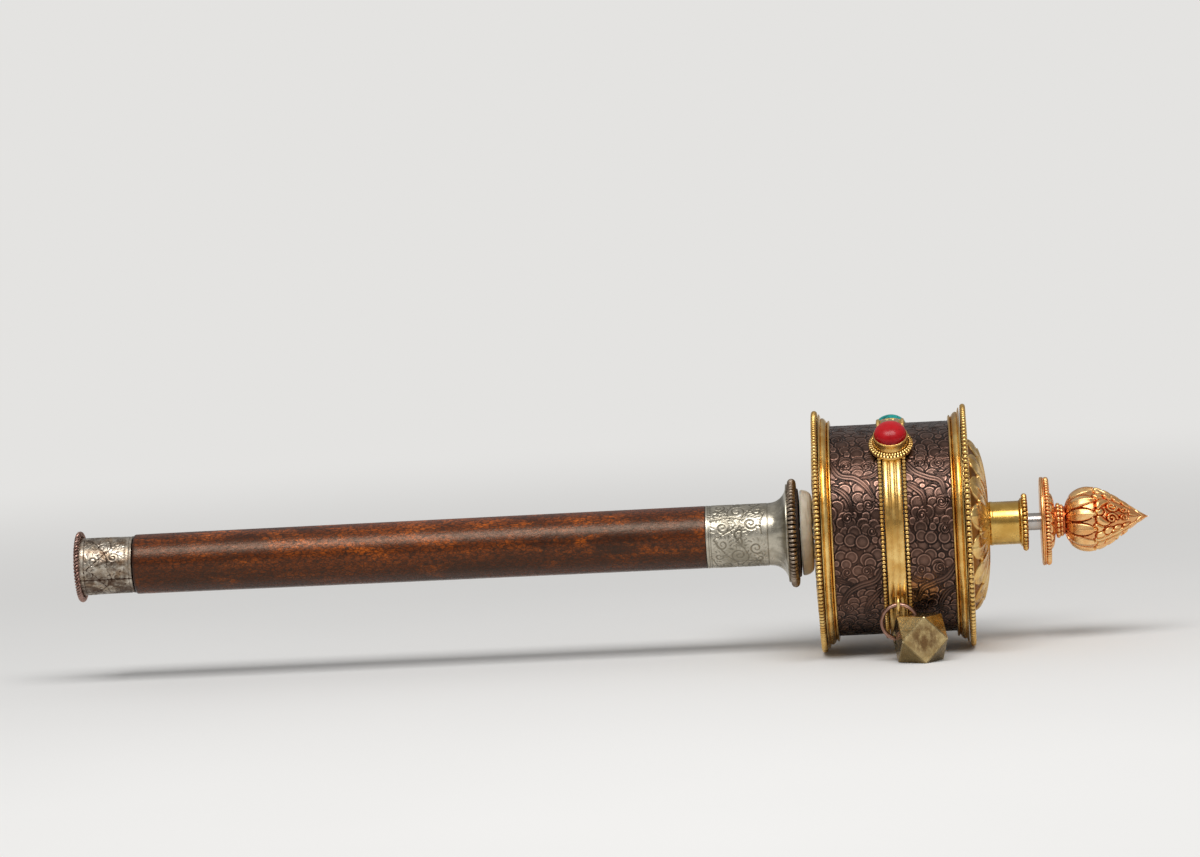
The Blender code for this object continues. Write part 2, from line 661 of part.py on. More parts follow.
def build_settings(parent, finish):
    cutter = saddle_cutter(parent, finish)
    shelf = BAND_CREST + SEAM + SETTING_BASE_HEIGHT
    bezel_top = shelf + BEZEL_HEIGHT
    cup_floor = bezel_top - BEZEL_CUP_DEPTH
    cup_radius = BEZEL_RADIUS - BEZEL_WALL
    setting = [
        (SHELL_RADIUS - SHELL_WALL, 0),
        (SHELL_RADIUS - SHELL_WALL, SETTING_RADIUS),
        (shelf, SETTING_RADIUS),
        (shelf, BEZEL_RADIUS),
        (bezel_top, BEZEL_RADIUS),
        (bezel_top, cup_radius),
        (cup_floor, cup_radius),
        (cup_floor, 0),
    ]
    bead = SETTING_BEAD_RADIUS
    wire_inner = BEZEL_RADIUS + SEAM
    beads = [
        (shelf + SEAM, wire_inner),
        (shelf + SEAM + bead, wire_inner + 2 * bead),
        (shelf + SEAM + 2 * bead, wire_inner + bead),
        (shelf + SEAM + 3 * bead, wire_inner + 2 * bead),
        (shelf + SEAM + 4 * bead, wire_inner),
    ]
    stone_foot = cup_floor + SEAM
    stone_seat = cup_radius - SEAM
    girdle = bezel_top + SEAM
    stone_crown = dome((girdle, STONE_GIRDLE_RADIUS), (stone_foot + STONE_HEIGHT, 0), 4)
    stone = [
        (stone_foot, 0),
        (stone_foot, stone_seat),
        (girdle - SEAM, stone_seat),
        *stone_crown,
    ]
    for name, angle in STONES:
        base = add_turned("setting_" + name, setting, SMALL_ROUND, finish["gilt_setting_" + name], parent)
        ring = add_turned("setting_beads_" + name, beads, SMALL_ROUND, finish["gilt_ring_" + name], parent)
        gem = add_turned("stone_" + name, stone, SMALL_ROUND, finish["stone_" + name], parent)
        for piece in (base, ring, gem):
            face_outwards(piece, angle)
        cut(base, cutter)


def split_ring_path():
    """Two flat coils side by side with a short jog between them, about the ring's own centre."""
    step = 15.0
    coil = 360.0 - SPLIT_RING_JOG
    total = 2 * coil + SPLIT_RING_JOG
    start = 90.0 - coil / 2
    path = []
    for index in range(int(total / step) + 1):
        travel = index * step
        jog = min(max((travel - coil) / SPLIT_RING_JOG, 0.0), 1.0)
        smooth = jog * jog * (3 - 2 * jog)
        angle = math.radians(start + travel)
        x = SPLIT_RING_RADIUS * math.cos(angle)
        z = SPLIT_RING_RADIUS * math.sin(angle)
        path.append(Vector((x, SPLIT_RING_PITCH * (smooth - 0.5), z)))
    return path


def least_gap(path, wire_diameter):
    """Smallest clear distance between stretches of the wire that aren't neighbours."""
    skip = 6
    gaps = [(a - b).length for i, a in enumerate(path) for b in path[i + skip:]]
    return min(gaps) - wire_diameter


def build_split_ring(parent, finish):
    path = split_ring_path()
    print(f"split ring, least gap between its coils: {least_gap(path, SPLIT_RING_WIRE) * 1000:.2f} mm")
    curve = bpy.data.curves.new("split_ring", "CURVE")
    curve.dimensions = "3D"
    curve.bevel_depth = SPLIT_RING_WIRE / 2
    curve.bevel_resolution = 1
    curve.use_fill_caps = True
    spline = curve.splines.new("POLY")
    spline.points.add(len(path) - 1)
    hang = Vector((0, 0, -SPLIT_RING_RADIUS))
    for point, place in zip(spline.points, path):
        point.co = (*(place + hang), 1)
    add_object("split_ring", curve, finish["ring_wire"], parent)


def build_weight(ring_centre, parent, finish):
    """Cube with its corners cut to the middles of its edges, bored along the ring's path."""
    bm = bmesh.new()
    half = WEIGHT_SIZE / 2
    for first in (-half, half):
        for second in (-half, half):
            for corner in ((first, second, 0), (first, 0, second), (0, first, second)):
                bm.verts.new(corner)
    bmesh.ops.convex_hull(bm, input=bm.verts)
    bmesh.ops.dissolve_limit(bm, angle_limit=math.radians(1), verts=bm.verts, edges=bm.edges)
    bmesh.ops.bevel(bm, geom=bm.edges, offset=WEIGHT_EDGE, segments=1, affect="EDGES", profile=0.5)
    weight = add_object("weight", mesh_from(bm, "weight", 20.0), finish["aged_brass"], parent)
    yaw = math.radians(WEIGHT_YAW)
    corner_reach = half * math.cos(yaw)
    belt_clear = BAND_CREST + WEIGHT_BELT_CLEARANCE
    back_corner = -math.sqrt(belt_clear ** 2 - (AXIS_HEIGHT - WEIGHT_SIZE) ** 2)
    eye_foot = ring_centre.z + SPLIT_RING_RADIUS - EYE_OUTER_RADIUS
    side = WEIGHT_SIDE_OFFSET
    if WEIGHT_SIZE + EYE_WIRE_RADIUS / 2 > eye_foot:
        side = max(side, corner_reach + EYE_WIRE_RADIUS + SEAM)
    forward = min(0.0, back_corner - corner_reach - ring_centre.y)
    weight.location = (side, forward, half - ring_centre.z)
    weight.rotation_euler = (0, 0, yaw)

    bore = ring_profile(0, SPLIT_RING_RADIUS, RING_SECTION_RADIUS + WEIGHT_BORE_CLEARANCE, 10)
    cutter = make_cutter(add_turned("weight_bore_cutter", bore, SMALL_ROUND, finish["aged_brass"], parent))
    cutter.rotation_euler = (0, 0, math.pi / 2)
    cut(weight, cutter)


def build_swinging_weight(drum_axis, finish):
    angle = math.radians(LUG_ANGLE)
    eye = Vector((0, -EYE_CENTRE * math.cos(angle), EYE_CENTRE * math.sin(angle)))
    lug = add_wire_ring("weight_lug", 0, EYE_HOLE_RADIUS + EYE_WIRE_RADIUS, EYE_WIRE_RADIUS, SMALL_ROUND,
                        finish["gilt_lug"], drum_axis)
    lug.location = eye
    eye_axis = add_empty("lug_eye_axis", eye, drum_axis)
    build_split_ring(eye_axis, finish)
    ring_axis = add_empty("split_ring_axis", (0, 0, -SPLIT_RING_RADIUS), eye_axis)
    ring_centre = eye + Vector((0, 0, AXIS_HEIGHT - SPLIT_RING_RADIUS))
    build_weight(ring_centre, ring_axis, finish)


def make_finishes():
    gilt = srgb(200, 150, 62)
    copper_gilt = srgb(224, 142, 82)
    finishes = {
        "wood": (srgb(96, 46, 26), 0.32, 0.0),
        "silvered_copper": (srgb(158, 142, 132), 0.42, 1.0),
        "silvered_copper_disc": (srgb(150, 132, 120), 0.45, 1.0),
        "rope_wire": (srgb(128, 84, 68), 0.42, 1.0),
        "white_metal": (srgb(168, 166, 156), 0.28, 1.0),
        "dark_steel": (srgb(110, 102, 95), 0.38, 1.0),
        "dark_leather": (srgb(38, 26, 20), 0.7, 0.0),
        "steel": (srgb(188, 184, 180), 0.22, 1.0),
        "conch": (srgb(206, 196, 176), 0.38, 0.0),
        "dark_copper": (srgb(92, 62, 54), 0.42, 1.0),
        "brass_neck": (srgb(214, 170, 76), 0.2, 1.0),
        "brass_upper_bush": (srgb(176, 138, 66), 0.35, 1.0),
        "brass_lower_bush": (srgb(176, 138, 66), 0.35, 1.0),
        "core_metal": (srgb(150, 120, 70), 0.45, 1.0),
        "paper": (srgb(214, 198, 160), 0.85, 0.0),
        "ring_wire": (srgb(150, 112, 92), 0.35, 1.0),
        "aged_brass": (srgb(142, 122, 80), 0.42, 1.0),
        "gilt_lug": (gilt, 0.3, 1.0),
        "gilt_setting": (gilt, 0.3, 1.0),
        "stone_coral_front": (srgb(200, 30, 45), 0.22, 0.0),
        "stone_turquoise": (srgb(20, 150, 150), 0.28, 0.0),
        "stone_coral_back": (srgb(200, 30, 45), 0.22, 0.0),
    }
    for name in ("lower_rim", "upper_rim", "lower_beads", "upper_beads", "lower_cap", "upper_cap", "band",
                 "band_beads_lower", "band_beads_upper", "neck_beads"):
        finishes["gilt_" + name] = (gilt, 0.28, 1.0)
    for name, _angle in STONES:
        finishes["gilt_setting_" + name] = (gilt, 0.3, 1.0)
        finishes["gilt_ring_" + name] = (gilt, 0.32, 1.0)
    for name in ("disc", "beads", "collar", "bud"):
        finishes["copper_gilt_" + name] = (copper_gilt, 0.34, 1.0)
    return {name: make_material(name, *values) for name, values in finishes.items()}


def main():
    for existing in list(bpy.data.objects):
        bpy.data.objects.remove(existing, do_unlink=True)
    finish = make_finishes()
    middle = (DRUM_MIDDLE, 0, AXIS_HEIGHT)
    handle_axis = add_empty("handle_axis", middle)
    bearing_axis = add_empty("bearing_axis", middle)
    drum_axis = add_empty("drum_axis", middle)
    build_handle(handle_axis, finish)
    build_finial(handle_axis, finish)
    build_bearing_ring(bearing_axis, finish)
    build_drum_ends(drum_axis, finish)
    build_drum_wall(drum_axis, finish)
    build_neck_and_core(drum_axis, finish)
    build_settings(drum_axis, finish)
    build_swinging_weight(drum_axis, finish)


main()
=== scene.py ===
"""Looks for the hand-held prayer wheel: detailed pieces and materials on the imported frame.

Shapes are worked out in millimetres and become metres when a piece is made.
Angles round the axle are measured up from the front of the drum, which faces -Y.
"""

import math

import bpy
import numpy as np
from mathutils import Matrix, Vector


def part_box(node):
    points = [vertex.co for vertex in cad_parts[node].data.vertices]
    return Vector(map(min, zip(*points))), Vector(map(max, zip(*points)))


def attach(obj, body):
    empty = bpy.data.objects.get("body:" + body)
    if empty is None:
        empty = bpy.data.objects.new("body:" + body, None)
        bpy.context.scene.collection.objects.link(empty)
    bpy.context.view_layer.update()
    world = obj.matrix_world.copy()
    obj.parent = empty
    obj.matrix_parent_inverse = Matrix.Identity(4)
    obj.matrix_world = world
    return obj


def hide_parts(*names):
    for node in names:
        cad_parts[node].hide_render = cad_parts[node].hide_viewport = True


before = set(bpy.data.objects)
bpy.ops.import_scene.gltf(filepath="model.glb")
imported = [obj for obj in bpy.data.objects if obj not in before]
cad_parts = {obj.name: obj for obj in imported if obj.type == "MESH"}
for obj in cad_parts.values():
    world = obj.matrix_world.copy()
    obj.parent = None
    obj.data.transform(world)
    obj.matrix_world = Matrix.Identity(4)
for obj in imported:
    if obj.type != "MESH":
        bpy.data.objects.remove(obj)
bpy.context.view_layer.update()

SCENE = bpy.context.scene
TAU = 2 * math.pi
QUARTER = math.pi / 2


def span(node):
    """Where a node starts and ends along the axle."""
    low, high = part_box(node)
    return low.x * 1000, high.x * 1000


def middle(node):
    low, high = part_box(node)
    return np.array((low + high) * 500)


AXIS = middle("axle")[2]
DRUM_X = middle("center_band")[0]


# Colours and materials

def srgb(red, green, blue):
    """Linear colour of an 8-bit display colour."""
    linear = [((value / 255 + 0.055) / 1.055) ** 2.4 for value in (red, green, blue)]
    return (*linear, 1.0)


class Graph:
    """Short ways to add nodes to the node tree of a material or the world."""

    def __init__(self, tree):
        self.tree = tree

    def link(self, source, target):
        self.tree.links.new(source, target)

    def node(self, kind, values=(), **settings):
        """New node; its inputs are linked to sockets and set to anything else."""
        made = self.tree.nodes.new("ShaderNode" + kind)
        for key, value in settings.items():
            setattr(made, key, value)
        for key, value in dict(values).items():
            if isinstance(value, bpy.types.NodeSocket):
                self.link(value, made.inputs[key])
            else:
                made.inputs[key].default_value = value
        return made

    def ramp(self, value, low, high, to_low=0.0, to_high=1.0):
        """Smooth step from to_low at low to to_high at high; high may be the smaller one."""
        values = {"Value": value, "From Min": low, "From Max": high, "To Min": to_low, "To Max": to_high}
        return self.node("MapRange", values, interpolation_type="SMOOTHSTEP").outputs["Result"]

    def times(self, first, second):
        return self.node("Math", {0: first, 1: second}, operation="MULTIPLY").outputs["Value"]

    def part(self, vector, axis):
        return self.node("SeparateXYZ", {"Vector": vector}).outputs[axis]

    def mix(self, share, first, second):
        """Colour that goes from first to second; either may be a colour or a socket."""
        return self.node("Mix", {"Factor": share, 6: first, 7: second}, data_type="RGBA").outputs[2]

    def seen_rays(self):
        """1 for rays that show the background: from the camera, in reflections and through clear things."""
        path = self.node("LightPath").outputs
        total = path["Is Camera Ray"]
        for output in ("Is Glossy Ray", "Is Transmission Ray"):
            total = self.node("Math", {0: total, 1: path[output]}, operation="MAXIMUM").outputs["Value"]
        return total

    def blend(self, share, first, second, output):
        """Send a mixture of two shaders to the output node."""
        made = self.node("MixShader", {"Fac": share, 1: first, 2: second})
        self.link(made.outputs["Shader"], self.tree.nodes[output].inputs["Surface"])


class Finish(Graph):
    """A Principled material whose colour, roughness and bump come from procedural nodes."""

    def __init__(self, name, roughness, metallic=1.0, values=()):
        self.material = bpy.data.materials.new(name)
        self.material.use_nodes = True
        super().__init__(self.material.node_tree)
        self.shader = self.tree.nodes["Principled BSDF"]
        for key, value in {"Metallic": metallic, "Roughness": roughness, **dict(values)}.items():
            self.shader.inputs[key].default_value = value
        self.place = self.node("TexCoord").outputs["Object"]

    def pattern(self, kind, scale, values=(), **settings):
        """Texture over the object; three scales stretch it apart along the axes."""
        place = self.place
        if isinstance(scale, tuple):
            place = self.node("Mapping", {"Vector": place, "Scale": scale}).outputs["Vector"]
            scale = 1.0
        return self.node(kind, {"Vector": place, "Scale": scale, **dict(values)}, **settings).outputs

    def noise(self, scale, detail, rough, distortion=0.0):
        values = {"Detail": detail, "Roughness": rough, "Distortion": distortion}
        return self.pattern("TexNoise", scale, values)["Fac"]

    def cracks(self, scale):
        return self.pattern("TexVoronoi", scale, feature="DISTANCE_TO_EDGE")["Distance"]

    def relief(self):
        """0 in the grooves of a piece and 1 on its raised parts."""
        return self.node("Attribute", attribute_name="relief").outputs["Fac"]

    def edges(self, width):
        """0 on flat faces and up to 1 along sharp edges."""
        soft = self.node("Bevel", {"Radius": width}, samples=6).outputs["Normal"]
        flat = self.node("NewGeometry").outputs["Normal"]
        alike = self.node("VectorMath", {0: soft, 1: flat}, operation="DOT_PRODUCT").outputs["Value"]
        return self.ramp(alike, 0.995, 0.88)

    def mottle(self, scale, first, second, low=0.35, high=0.65, rough=0.6):
        """Start the tone as two colours in soft patches."""
        patches = self.ramp(self.noise(scale, 5.0, rough), low, high)
        self.tone = self.mix(patches, srgb(*first), srgb(*second))

    def cover(self, share, color):
        """Lay a share of a colour over the tone."""
        self.tone = self.mix(share, self.tone, srgb(*color))

    def over(self, value, low, high, share, color):
        """Lay a colour over the tone, none where the value is low and a share where it is high."""
        self.cover(self.ramp(value, low, high, 0.0, share), color)

    def grooved(self, low, high, color):
        """Let the tone give way to a colour in the grooves."""
        self.tone = self.mix(self.ramp(self.relief(), low, high), srgb(*color), self.tone)

    def shine(self, scale, detail, low, high):
        """Roughness in soft patches."""
        return self.ramp(self.noise(scale, detail, 0.6), 0.3, 0.7, low, high)

    def finish(self, roughness=None, bump=None, strength=0.0, distance=0.0):
        self.link(self.tone, self.shader.inputs["Base Color"])
        if roughness is not None:
            self.link(roughness, self.shader.inputs["Roughness"])
        if bump is not None:
            made = self.node("Bump", {"Strength": strength, "Distance": distance, "Height": bump})
            for socket in ("Normal", "Coat Normal"):
                self.link(made.outputs["Normal"], self.shader.inputs[socket])
        return self.material


def metal(name, bright, dull, recess, roughness, patch=160.0, fine=2600.0, strength=0.1):
    """Worked metal: two tones in soft patches, darker in its grooves, with fine handling marks."""
    made = Finish(name, roughness[0])
    made.mottle(patch, dull, bright, 0.36, 0.66)
    grain = made.noise(fine, 3.0, 0.6)
    made.over(grain, 0.55, 0.8, 0.35, dull)
    made.grooved(0.05, 0.6, recess)
    shine = made.shine(patch * 3, 4.0, roughness[1], roughness[0])
    return made.finish(shine, grain, strength, 0.00012)


def make_copper():
    """Chased copper, browned with age, paler on its raised parts and lips: partly rubbed wear, partly a
    painted highlight.
    """
    made = Finish("chased_copper", 0.38, 1.0, {"Coat Weight": 0.28, "Coat Roughness": 0.3})
    made.mottle(110.0, (47, 30, 22), (78, 52, 40), 0.35, 0.68)
    made.over(made.noise(420.0, 4.0, 0.6), 0.58, 0.74, 0.5, (92, 54, 36))
    made.grooved(0.07, 0.38, (24, 15, 11))
    # Paler colour on the raised lobes and lips: rubbed wear and a painted highlight where their flanks would
    # catch the light
    made.over(made.relief(), 0.55, 0.67, 0.8, (160, 123, 106))
    shine = made.shine(500.0, 4.0, 0.34, 0.22)
    return made.finish(shine, made.noise(3200.0, 3.0, 0.6), 0.14, 0.00012)


def make_wood():
    """Lacquered turned hardwood: brown worn to orange, under fine dark flecks, pores and crackle."""
    sheen = {"Specular IOR Level": 0.5, "Specular Tint": srgb(255, 228, 204)}
    made = Finish("lacquered_wood", 0.34, 0.0, sheen)
    worn = made.noise((26.0, 80.0, 80.0), 5.0, 0.62, 0.4)
    made.tone = made.mix(made.ramp(worn, 0.3, 0.7), srgb(56, 20, 3), srgb(130, 58, 9))
    patch = made.noise((60.0, 170.0, 170.0), 5.0, 0.66, 0.3)
    made.over(patch, 0.47, 0.69, 0.9, (204, 100, 22))
    fleck = made.noise((760.0, 1500.0, 1500.0), 5.0, 0.7, 0.3)
    made.over(fleck, 0.44, 0.62, 0.8, (38, 14, 4))
    pore = made.noise((1500.0, 2600.0, 2600.0), 3.0, 0.62)
    made.over(pore, 0.5, 0.66, 0.6, (32, 12, 4))
    crackle = made.cracks((520.0, 1150.0, 1150.0))
    made.over(crackle, 0.13, 0.0, 0.75, (32, 12, 4))
    made.grooved(0.0, 1.0, (26, 11, 8))
    shine = made.ramp(fleck, 0.35, 0.65, 0.24, 0.36)
    return made.finish(shine, fleck, 0.4, 0.00013)


def make_silvered():
    """Worn silver plate over copper: grey, warm where it is rubbed, tarnished in its lines, and darkened in
    blotches below the axle as painted shade.
    """
    made = Finish("silvered_copper", 0.34)
    made.mottle(420.0, (160, 144, 124), (212, 203, 188), rough=0.62)
    bare = made.noise(300.0, 6.0, 0.68, 0.5)
    made.over(bare, 0.5, 0.68, 0.45, (172, 132, 94))
    stain = made.noise((210.0, 260.0, 330.0), 6.0, 0.7, 0.5)
    made.over(stain, 0.5, 0.64, 0.8, (88, 66, 50))
    # Painted shade: dark brown in blotches over the underside, below the axle
    low = made.ramp(made.part(made.place, "Z"), AXIS / 1000 + 0.001, AXIS / 1000 - 0.004)
    underside_shade_blotches = made.ramp(made.noise(260.0, 6.0, 0.68, 0.6), 0.34, 0.56)
    made.cover(made.times(made.times(low, underside_shade_blotches), 0.85), (70, 50, 38))
    speck = made.noise(1900.0, 4.0, 0.66)
    made.over(speck, 0.52, 0.68, 0.5, (112, 82, 60))
    made.grooved(0.05, 0.8, (62, 44, 34))
    shine = made.ramp(bare, 0.35, 0.65, 0.24, 0.46)
    return made.finish(shine, speck, 0.25, 0.0002)


def make_white_metal():
    """Chased white metal, grey in its lines."""
    made = Finish("white_metal", 0.32)
    made.mottle(190.0, (154, 147, 131), (198, 191, 175), 0.35, 0.66)
    spot = made.noise(1500.0, 4.0, 0.65)
    made.over(spot, 0.6, 0.72, 0.5, (110, 102, 90))
    made.grooved(0.0, 0.8, (134, 127, 112))
    shine = made.shine(600.0, 4.0, 0.42, 0.26)
    return made.finish(shine, spot, 0.12, 0.00012)


def make_aged_brass(stain_at):
    """Old brass with bright edges, partly wear and partly a painted highlight, stained brown round one place,
    with painted shade on the facets that face down and towards -X.
    """
    made = Finish("aged_brass", 0.38)
    made.mottle(420.0, (166, 140, 94), (206, 182, 132))
    away = made.node("VectorMath", {0: made.place, 1: stain_at}, operation="DISTANCE").outputs["Value"]
    stain = made.times(made.ramp(away, 0.0018, 0.006, 0.9, 0.0),
                       made.ramp(made.noise((620.0, 420.0, 300.0), 5.0, 0.65), 0.3, 0.56))
    made.cover(stain, (108, 78, 50))
    # Painted shade: darker on the facets that face down and on those that face towards -X
    facet_normal_for_shade = made.node("TexCoord").outputs["Normal"]
    made.over(made.part(facet_normal_for_shade, "Z"), 0.1, -0.45, 0.75, (96, 78, 46))
    made.over(made.part(facet_normal_for_shade, "X"), -0.2, -0.75, 0.55, (104, 88, 56))
    spot = made.noise(1600.0, 4.0, 0.65)
    made.over(spot, 0.6, 0.72, 0.3, (112, 90, 56))
    # Bright colour along the sharp edges: worn brass and a painted highlight where the edges would catch the
    # light
    made.cover(made.times(made.edges(0.00045), 0.9), (240, 224, 178))
    shine = made.ramp(spot, 0.35, 0.65, 0.2, 0.36)
    return made.finish(shine, spot, 0.1, 0.0001)


def make_stone(name, body, pale, dark, vein=None):
    """Polished cabochon with soft mottling, and a dark web where the stone has one."""
    made = Finish(name, 0.22, 0.0, {"Specular IOR Level": 0.3})
    made.mottle(420.0, body, pale)
    made.over(made.noise(900.0, 5.0, 0.65), 0.56, 0.72, 0.6, dark)
    if vein:
        made.cover(made.ramp(made.cracks(330.0), 0.0, 0.05, 0.7, 0.0), vein)
    shine = made.shine(700.0, 3.0, 0.18, 0.32)
    return made.finish(shine, made.noise(1500.0, 3.0, 0.6), 0.05, 0.0001)


def make_conch():
    """Shell: ivory with faint growth lines."""
    made = Finish("conch", 0.36, 0.0, {"Subsurface Weight": 0.1, "Subsurface Scale": 0.001})
    made.mottle(240.0, (206, 196, 176), (228, 221, 206))
    lines = made.noise((1400.0, 160.0, 160.0), 4.0, 0.6, 0.4)
    made.over(lines, 0.54, 0.72, 0.6, (172, 156, 130))
    made.grooved(0.0, 0.8, (112, 92, 66))
    shine = made.ramp(lines, 0.3, 0.7, 0.3, 0.46)
    return made.finish(shine, lines, 0.12, 0.0001)


def make_leather():
    made = Finish("dark_leather", 0.62, 0.0)
    made.mottle(700.0, (34, 23, 18), (62, 42, 32))
    grain = made.cracks(1900.0)
    made.cover(made.ramp(grain, 0.0, 0.08, 0.6, 0.0), (18, 12, 10))
    shine = made.shine(900.0, 4.0, 0.5, 0.72)
    return made.finish(shine, grain, 0.3, 0.0002)


def make_paper():
    made = Finish("paper", 0.85, 0.0)
    made.mottle(160.0, (196, 178, 138), (222, 206, 168))
    layers = made.noise((60.0, 2600.0, 2600.0), 2.0, 0.5)
    made.over(layers, 0.5, 0.7, 0.5, (160, 138, 96))
    shine = made.ramp(layers, 0.3, 0.7, 0.8, 0.92)
    return made.finish(shine, layers, 0.2, 0.0002)


# Mesh helpers

CENTRE = 0.02  # radius at which a closed end meets its axis
BORE = 2.7  # radius of the holes round the axle


def unit(value):
    """Value held between 0 and 1."""
    return np.clip(value, 0, 1)


def bell(distance, width):
    """1 along the middle of a line, falling away to its sides."""
    return np.exp(-(distance / width) ** 2)


def around(columns):
    """Angle of each column round the axle."""
    return TAU * np.arange(columns)[None, :] / columns


def along(stations, columns):
    """Stations along the axle, the same all the way round."""
    return np.asarray(stations, float)[:, None] * np.ones((1, columns))


def stacked(columns, *rows):
    """Rows of a grid one after another; a number fills a row."""
    return np.concatenate([np.full((1, columns), row) if np.isscalar(row) else row for row in rows])


def revolve(outline, columns):
    """Stations and radii of an outline, the same all the way round."""
    outline = np.asarray(outline, float)
    return along(outline[:, 0], columns), along(outline[:, 1], columns)


def quads(rows, shape, flip=False):
    """Corners of the faces between neighbours in a grid of points that closes on itself."""
    height, width = shape
    row, column = np.arange(rows)[:, None], np.arange(width)[None, :]
    below, beside = (row + 1) % height, (column + 1) % width
    corners = [row * width + column, below * width + column, below * width + beside, row * width + beside]
    if flip:
        corners[1], corners[3] = corners[3], corners[1]
    return np.stack(corners, -1).reshape(-1, 4)


def ring_grid(x, r):
    """Closed surface round the axle: rows follow the outline and columns go round."""
    angle = around(x.shape[1])
    verts = np.stack([x, -r * np.cos(angle), r * np.sin(angle)], -1).reshape(-1, 3)
    return verts, quads(len(x), x.shape)


def add_object(name, data):
    made = bpy.data.objects.new(name, data)
    SCENE.collection.objects.link(made)
    return made


def add_piece(name, verts, faces, material, body, slot, node, relief=None, sharp=38.0, at_axis=True):
    """Mesh object in millimetres, riding on a body and standing for a node."""
    verts = np.asarray(verts, float) + ((0, 0, AXIS) if at_axis else (0, 0, 0))
    mesh = bpy.data.meshes.new(name)
    mesh.from_pydata((verts / 1000).tolist(), [], faces.tolist())
    mesh.shade_smooth()
    mesh.set_sharp_from_angle(angle=math.radians(sharp))
    level = np.ones(len(verts)) if relief is None else np.asarray(relief, float).ravel()
    mesh.attributes.new("relief", "FLOAT", "POINT").data.foreach_set("value", level.astype(np.float32))
    mesh.materials.append(material)
    piece = add_object(name, mesh)
    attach(piece, body)
    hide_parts(node)


def add_turned(name, x, r, *look):
    """Piece that is one closed surface round the axle."""
    add_piece(name, *ring_grid(x, r), *look)


def joined(parts):
    """One set of vertices and faces from several."""
    verts, faces, start = [], [], 0
    for part_verts, part_faces in parts:
        verts.append(part_verts)
        faces.append(part_faces + start)
        start += len(part_verts)
    return np.concatenate(verts), np.concatenate(faces)


def rounded(outline, radius, steps):
    """Closed outline with its corners softened."""
    outline = np.asarray(outline, float)
    soft = []
    for before, corner, after in zip(np.roll(outline, 1, 0), outline, np.roll(outline, -1, 0)):
        back, on = before - corner, after - corner
        back_length, on_length = np.hypot(*back), np.hypot(*on)
        reach = min(radius, 0.45 * back_length, 0.45 * on_length)
        start, end = corner + back / back_length * reach, corner + on / on_length * reach
        for t in np.linspace(0, 1, steps):
            soft.append((1 - t) ** 2 * start + 2 * t * (1 - t) * corner + t * t * end)
    return np.array(soft)


WOBBLE_WAVES = 7


def wobble(x, angle, seed):
    """Smooth unevenness of hand work, from -1 to 1."""
    rng = np.random.default_rng(seed)
    total = 0.0
    for _ in range(WOBBLE_WAVES):
        total = total + np.sin(rng.integers(1, 6) * angle + rng.uniform(0.03, 0.3) * x + rng.uniform(0, TAU))
    return total / WOBBLE_WAVES


BEAD_WAIST = 0.28


def beaded_ring(station, ring_radius, wire_radius, count, sides, per_bead):
    """Wire drawn into round beads and soldered down, with how far each point lies from the waists."""
    t = (np.arange(count * per_bead) % per_bead) / per_bead * 2 - 1
    swell = np.maximum(np.sqrt(unit(1 - t ** 2)), BEAD_WAIST)[None, :]
    side = TAU * np.arange(sides)[:, None] / sides
    solder = unit(-1.5 * np.sin(side)) * 0.9
    body = wire_radius * (swell + (1 - swell) * solder)
    level = ((swell - BEAD_WAIST) / (1 - BEAD_WAIST)) ** 1.7 * (0.5 + 0.5 * np.sin(side)) ** 0.5
    return (*ring_grid(station - body * np.cos(side), ring_radius + body * np.sin(side)), level)


def add_beads(name, node, shift, ring, look):
    """Beaded wire in place of a node; the ring is what beaded_ring takes after its station."""
    verts, faces, level = beaded_ring(middle(node)[0] + shift, *ring)
    add_piece(name, verts, faces, *look, node, level)


def tube(path, radius, sides, closed=False):
    """Round wire along a path of points, with domed ends where it is open."""
    path = np.asarray(path, float)
    if closed:
        along_path = np.roll(path, -1, 0) - np.roll(path, 1, 0)
        thickness = np.full(len(path), radius)
    else:
        along_path = np.gradient(path, axis=0)
        ends = []
        for end, direction in ((path[0], -along_path[0]), (path[-1], along_path[-1])):
            outward = direction / np.linalg.norm(direction)
            ends.append([end + outward * radius * 0.6, end + outward * radius * 0.95])
        path = np.concatenate([ends[0][::-1], path, ends[1]])
        along_path = np.gradient(path, axis=0)
        thickness = np.full(len(path), radius)
        thickness[[0, -1]] = radius * 0.15
        thickness[[1, -2]] = radius * 0.78
    along_path /= np.linalg.norm(along_path, axis=1, keepdims=True)
    normal = np.cross(along_path[0], (0.3, 0.5, 0.8))
    turn = TAU * np.arange(sides)[:, None] / sides
    rings = []
    for point, direction, size in zip(path, along_path, thickness):
        normal = normal - direction * (normal @ direction)
        normal /= np.linalg.norm(normal)
        rings.append(point + size * (np.cos(turn) * normal + np.sin(turn) * np.cross(direction, normal)))
    count = len(rings)
    return np.concatenate(rings), quads(count if closed else count - 1, (count, sides), True)


LIP_INSET = 0.36
LIP_WIDTH = 0.17


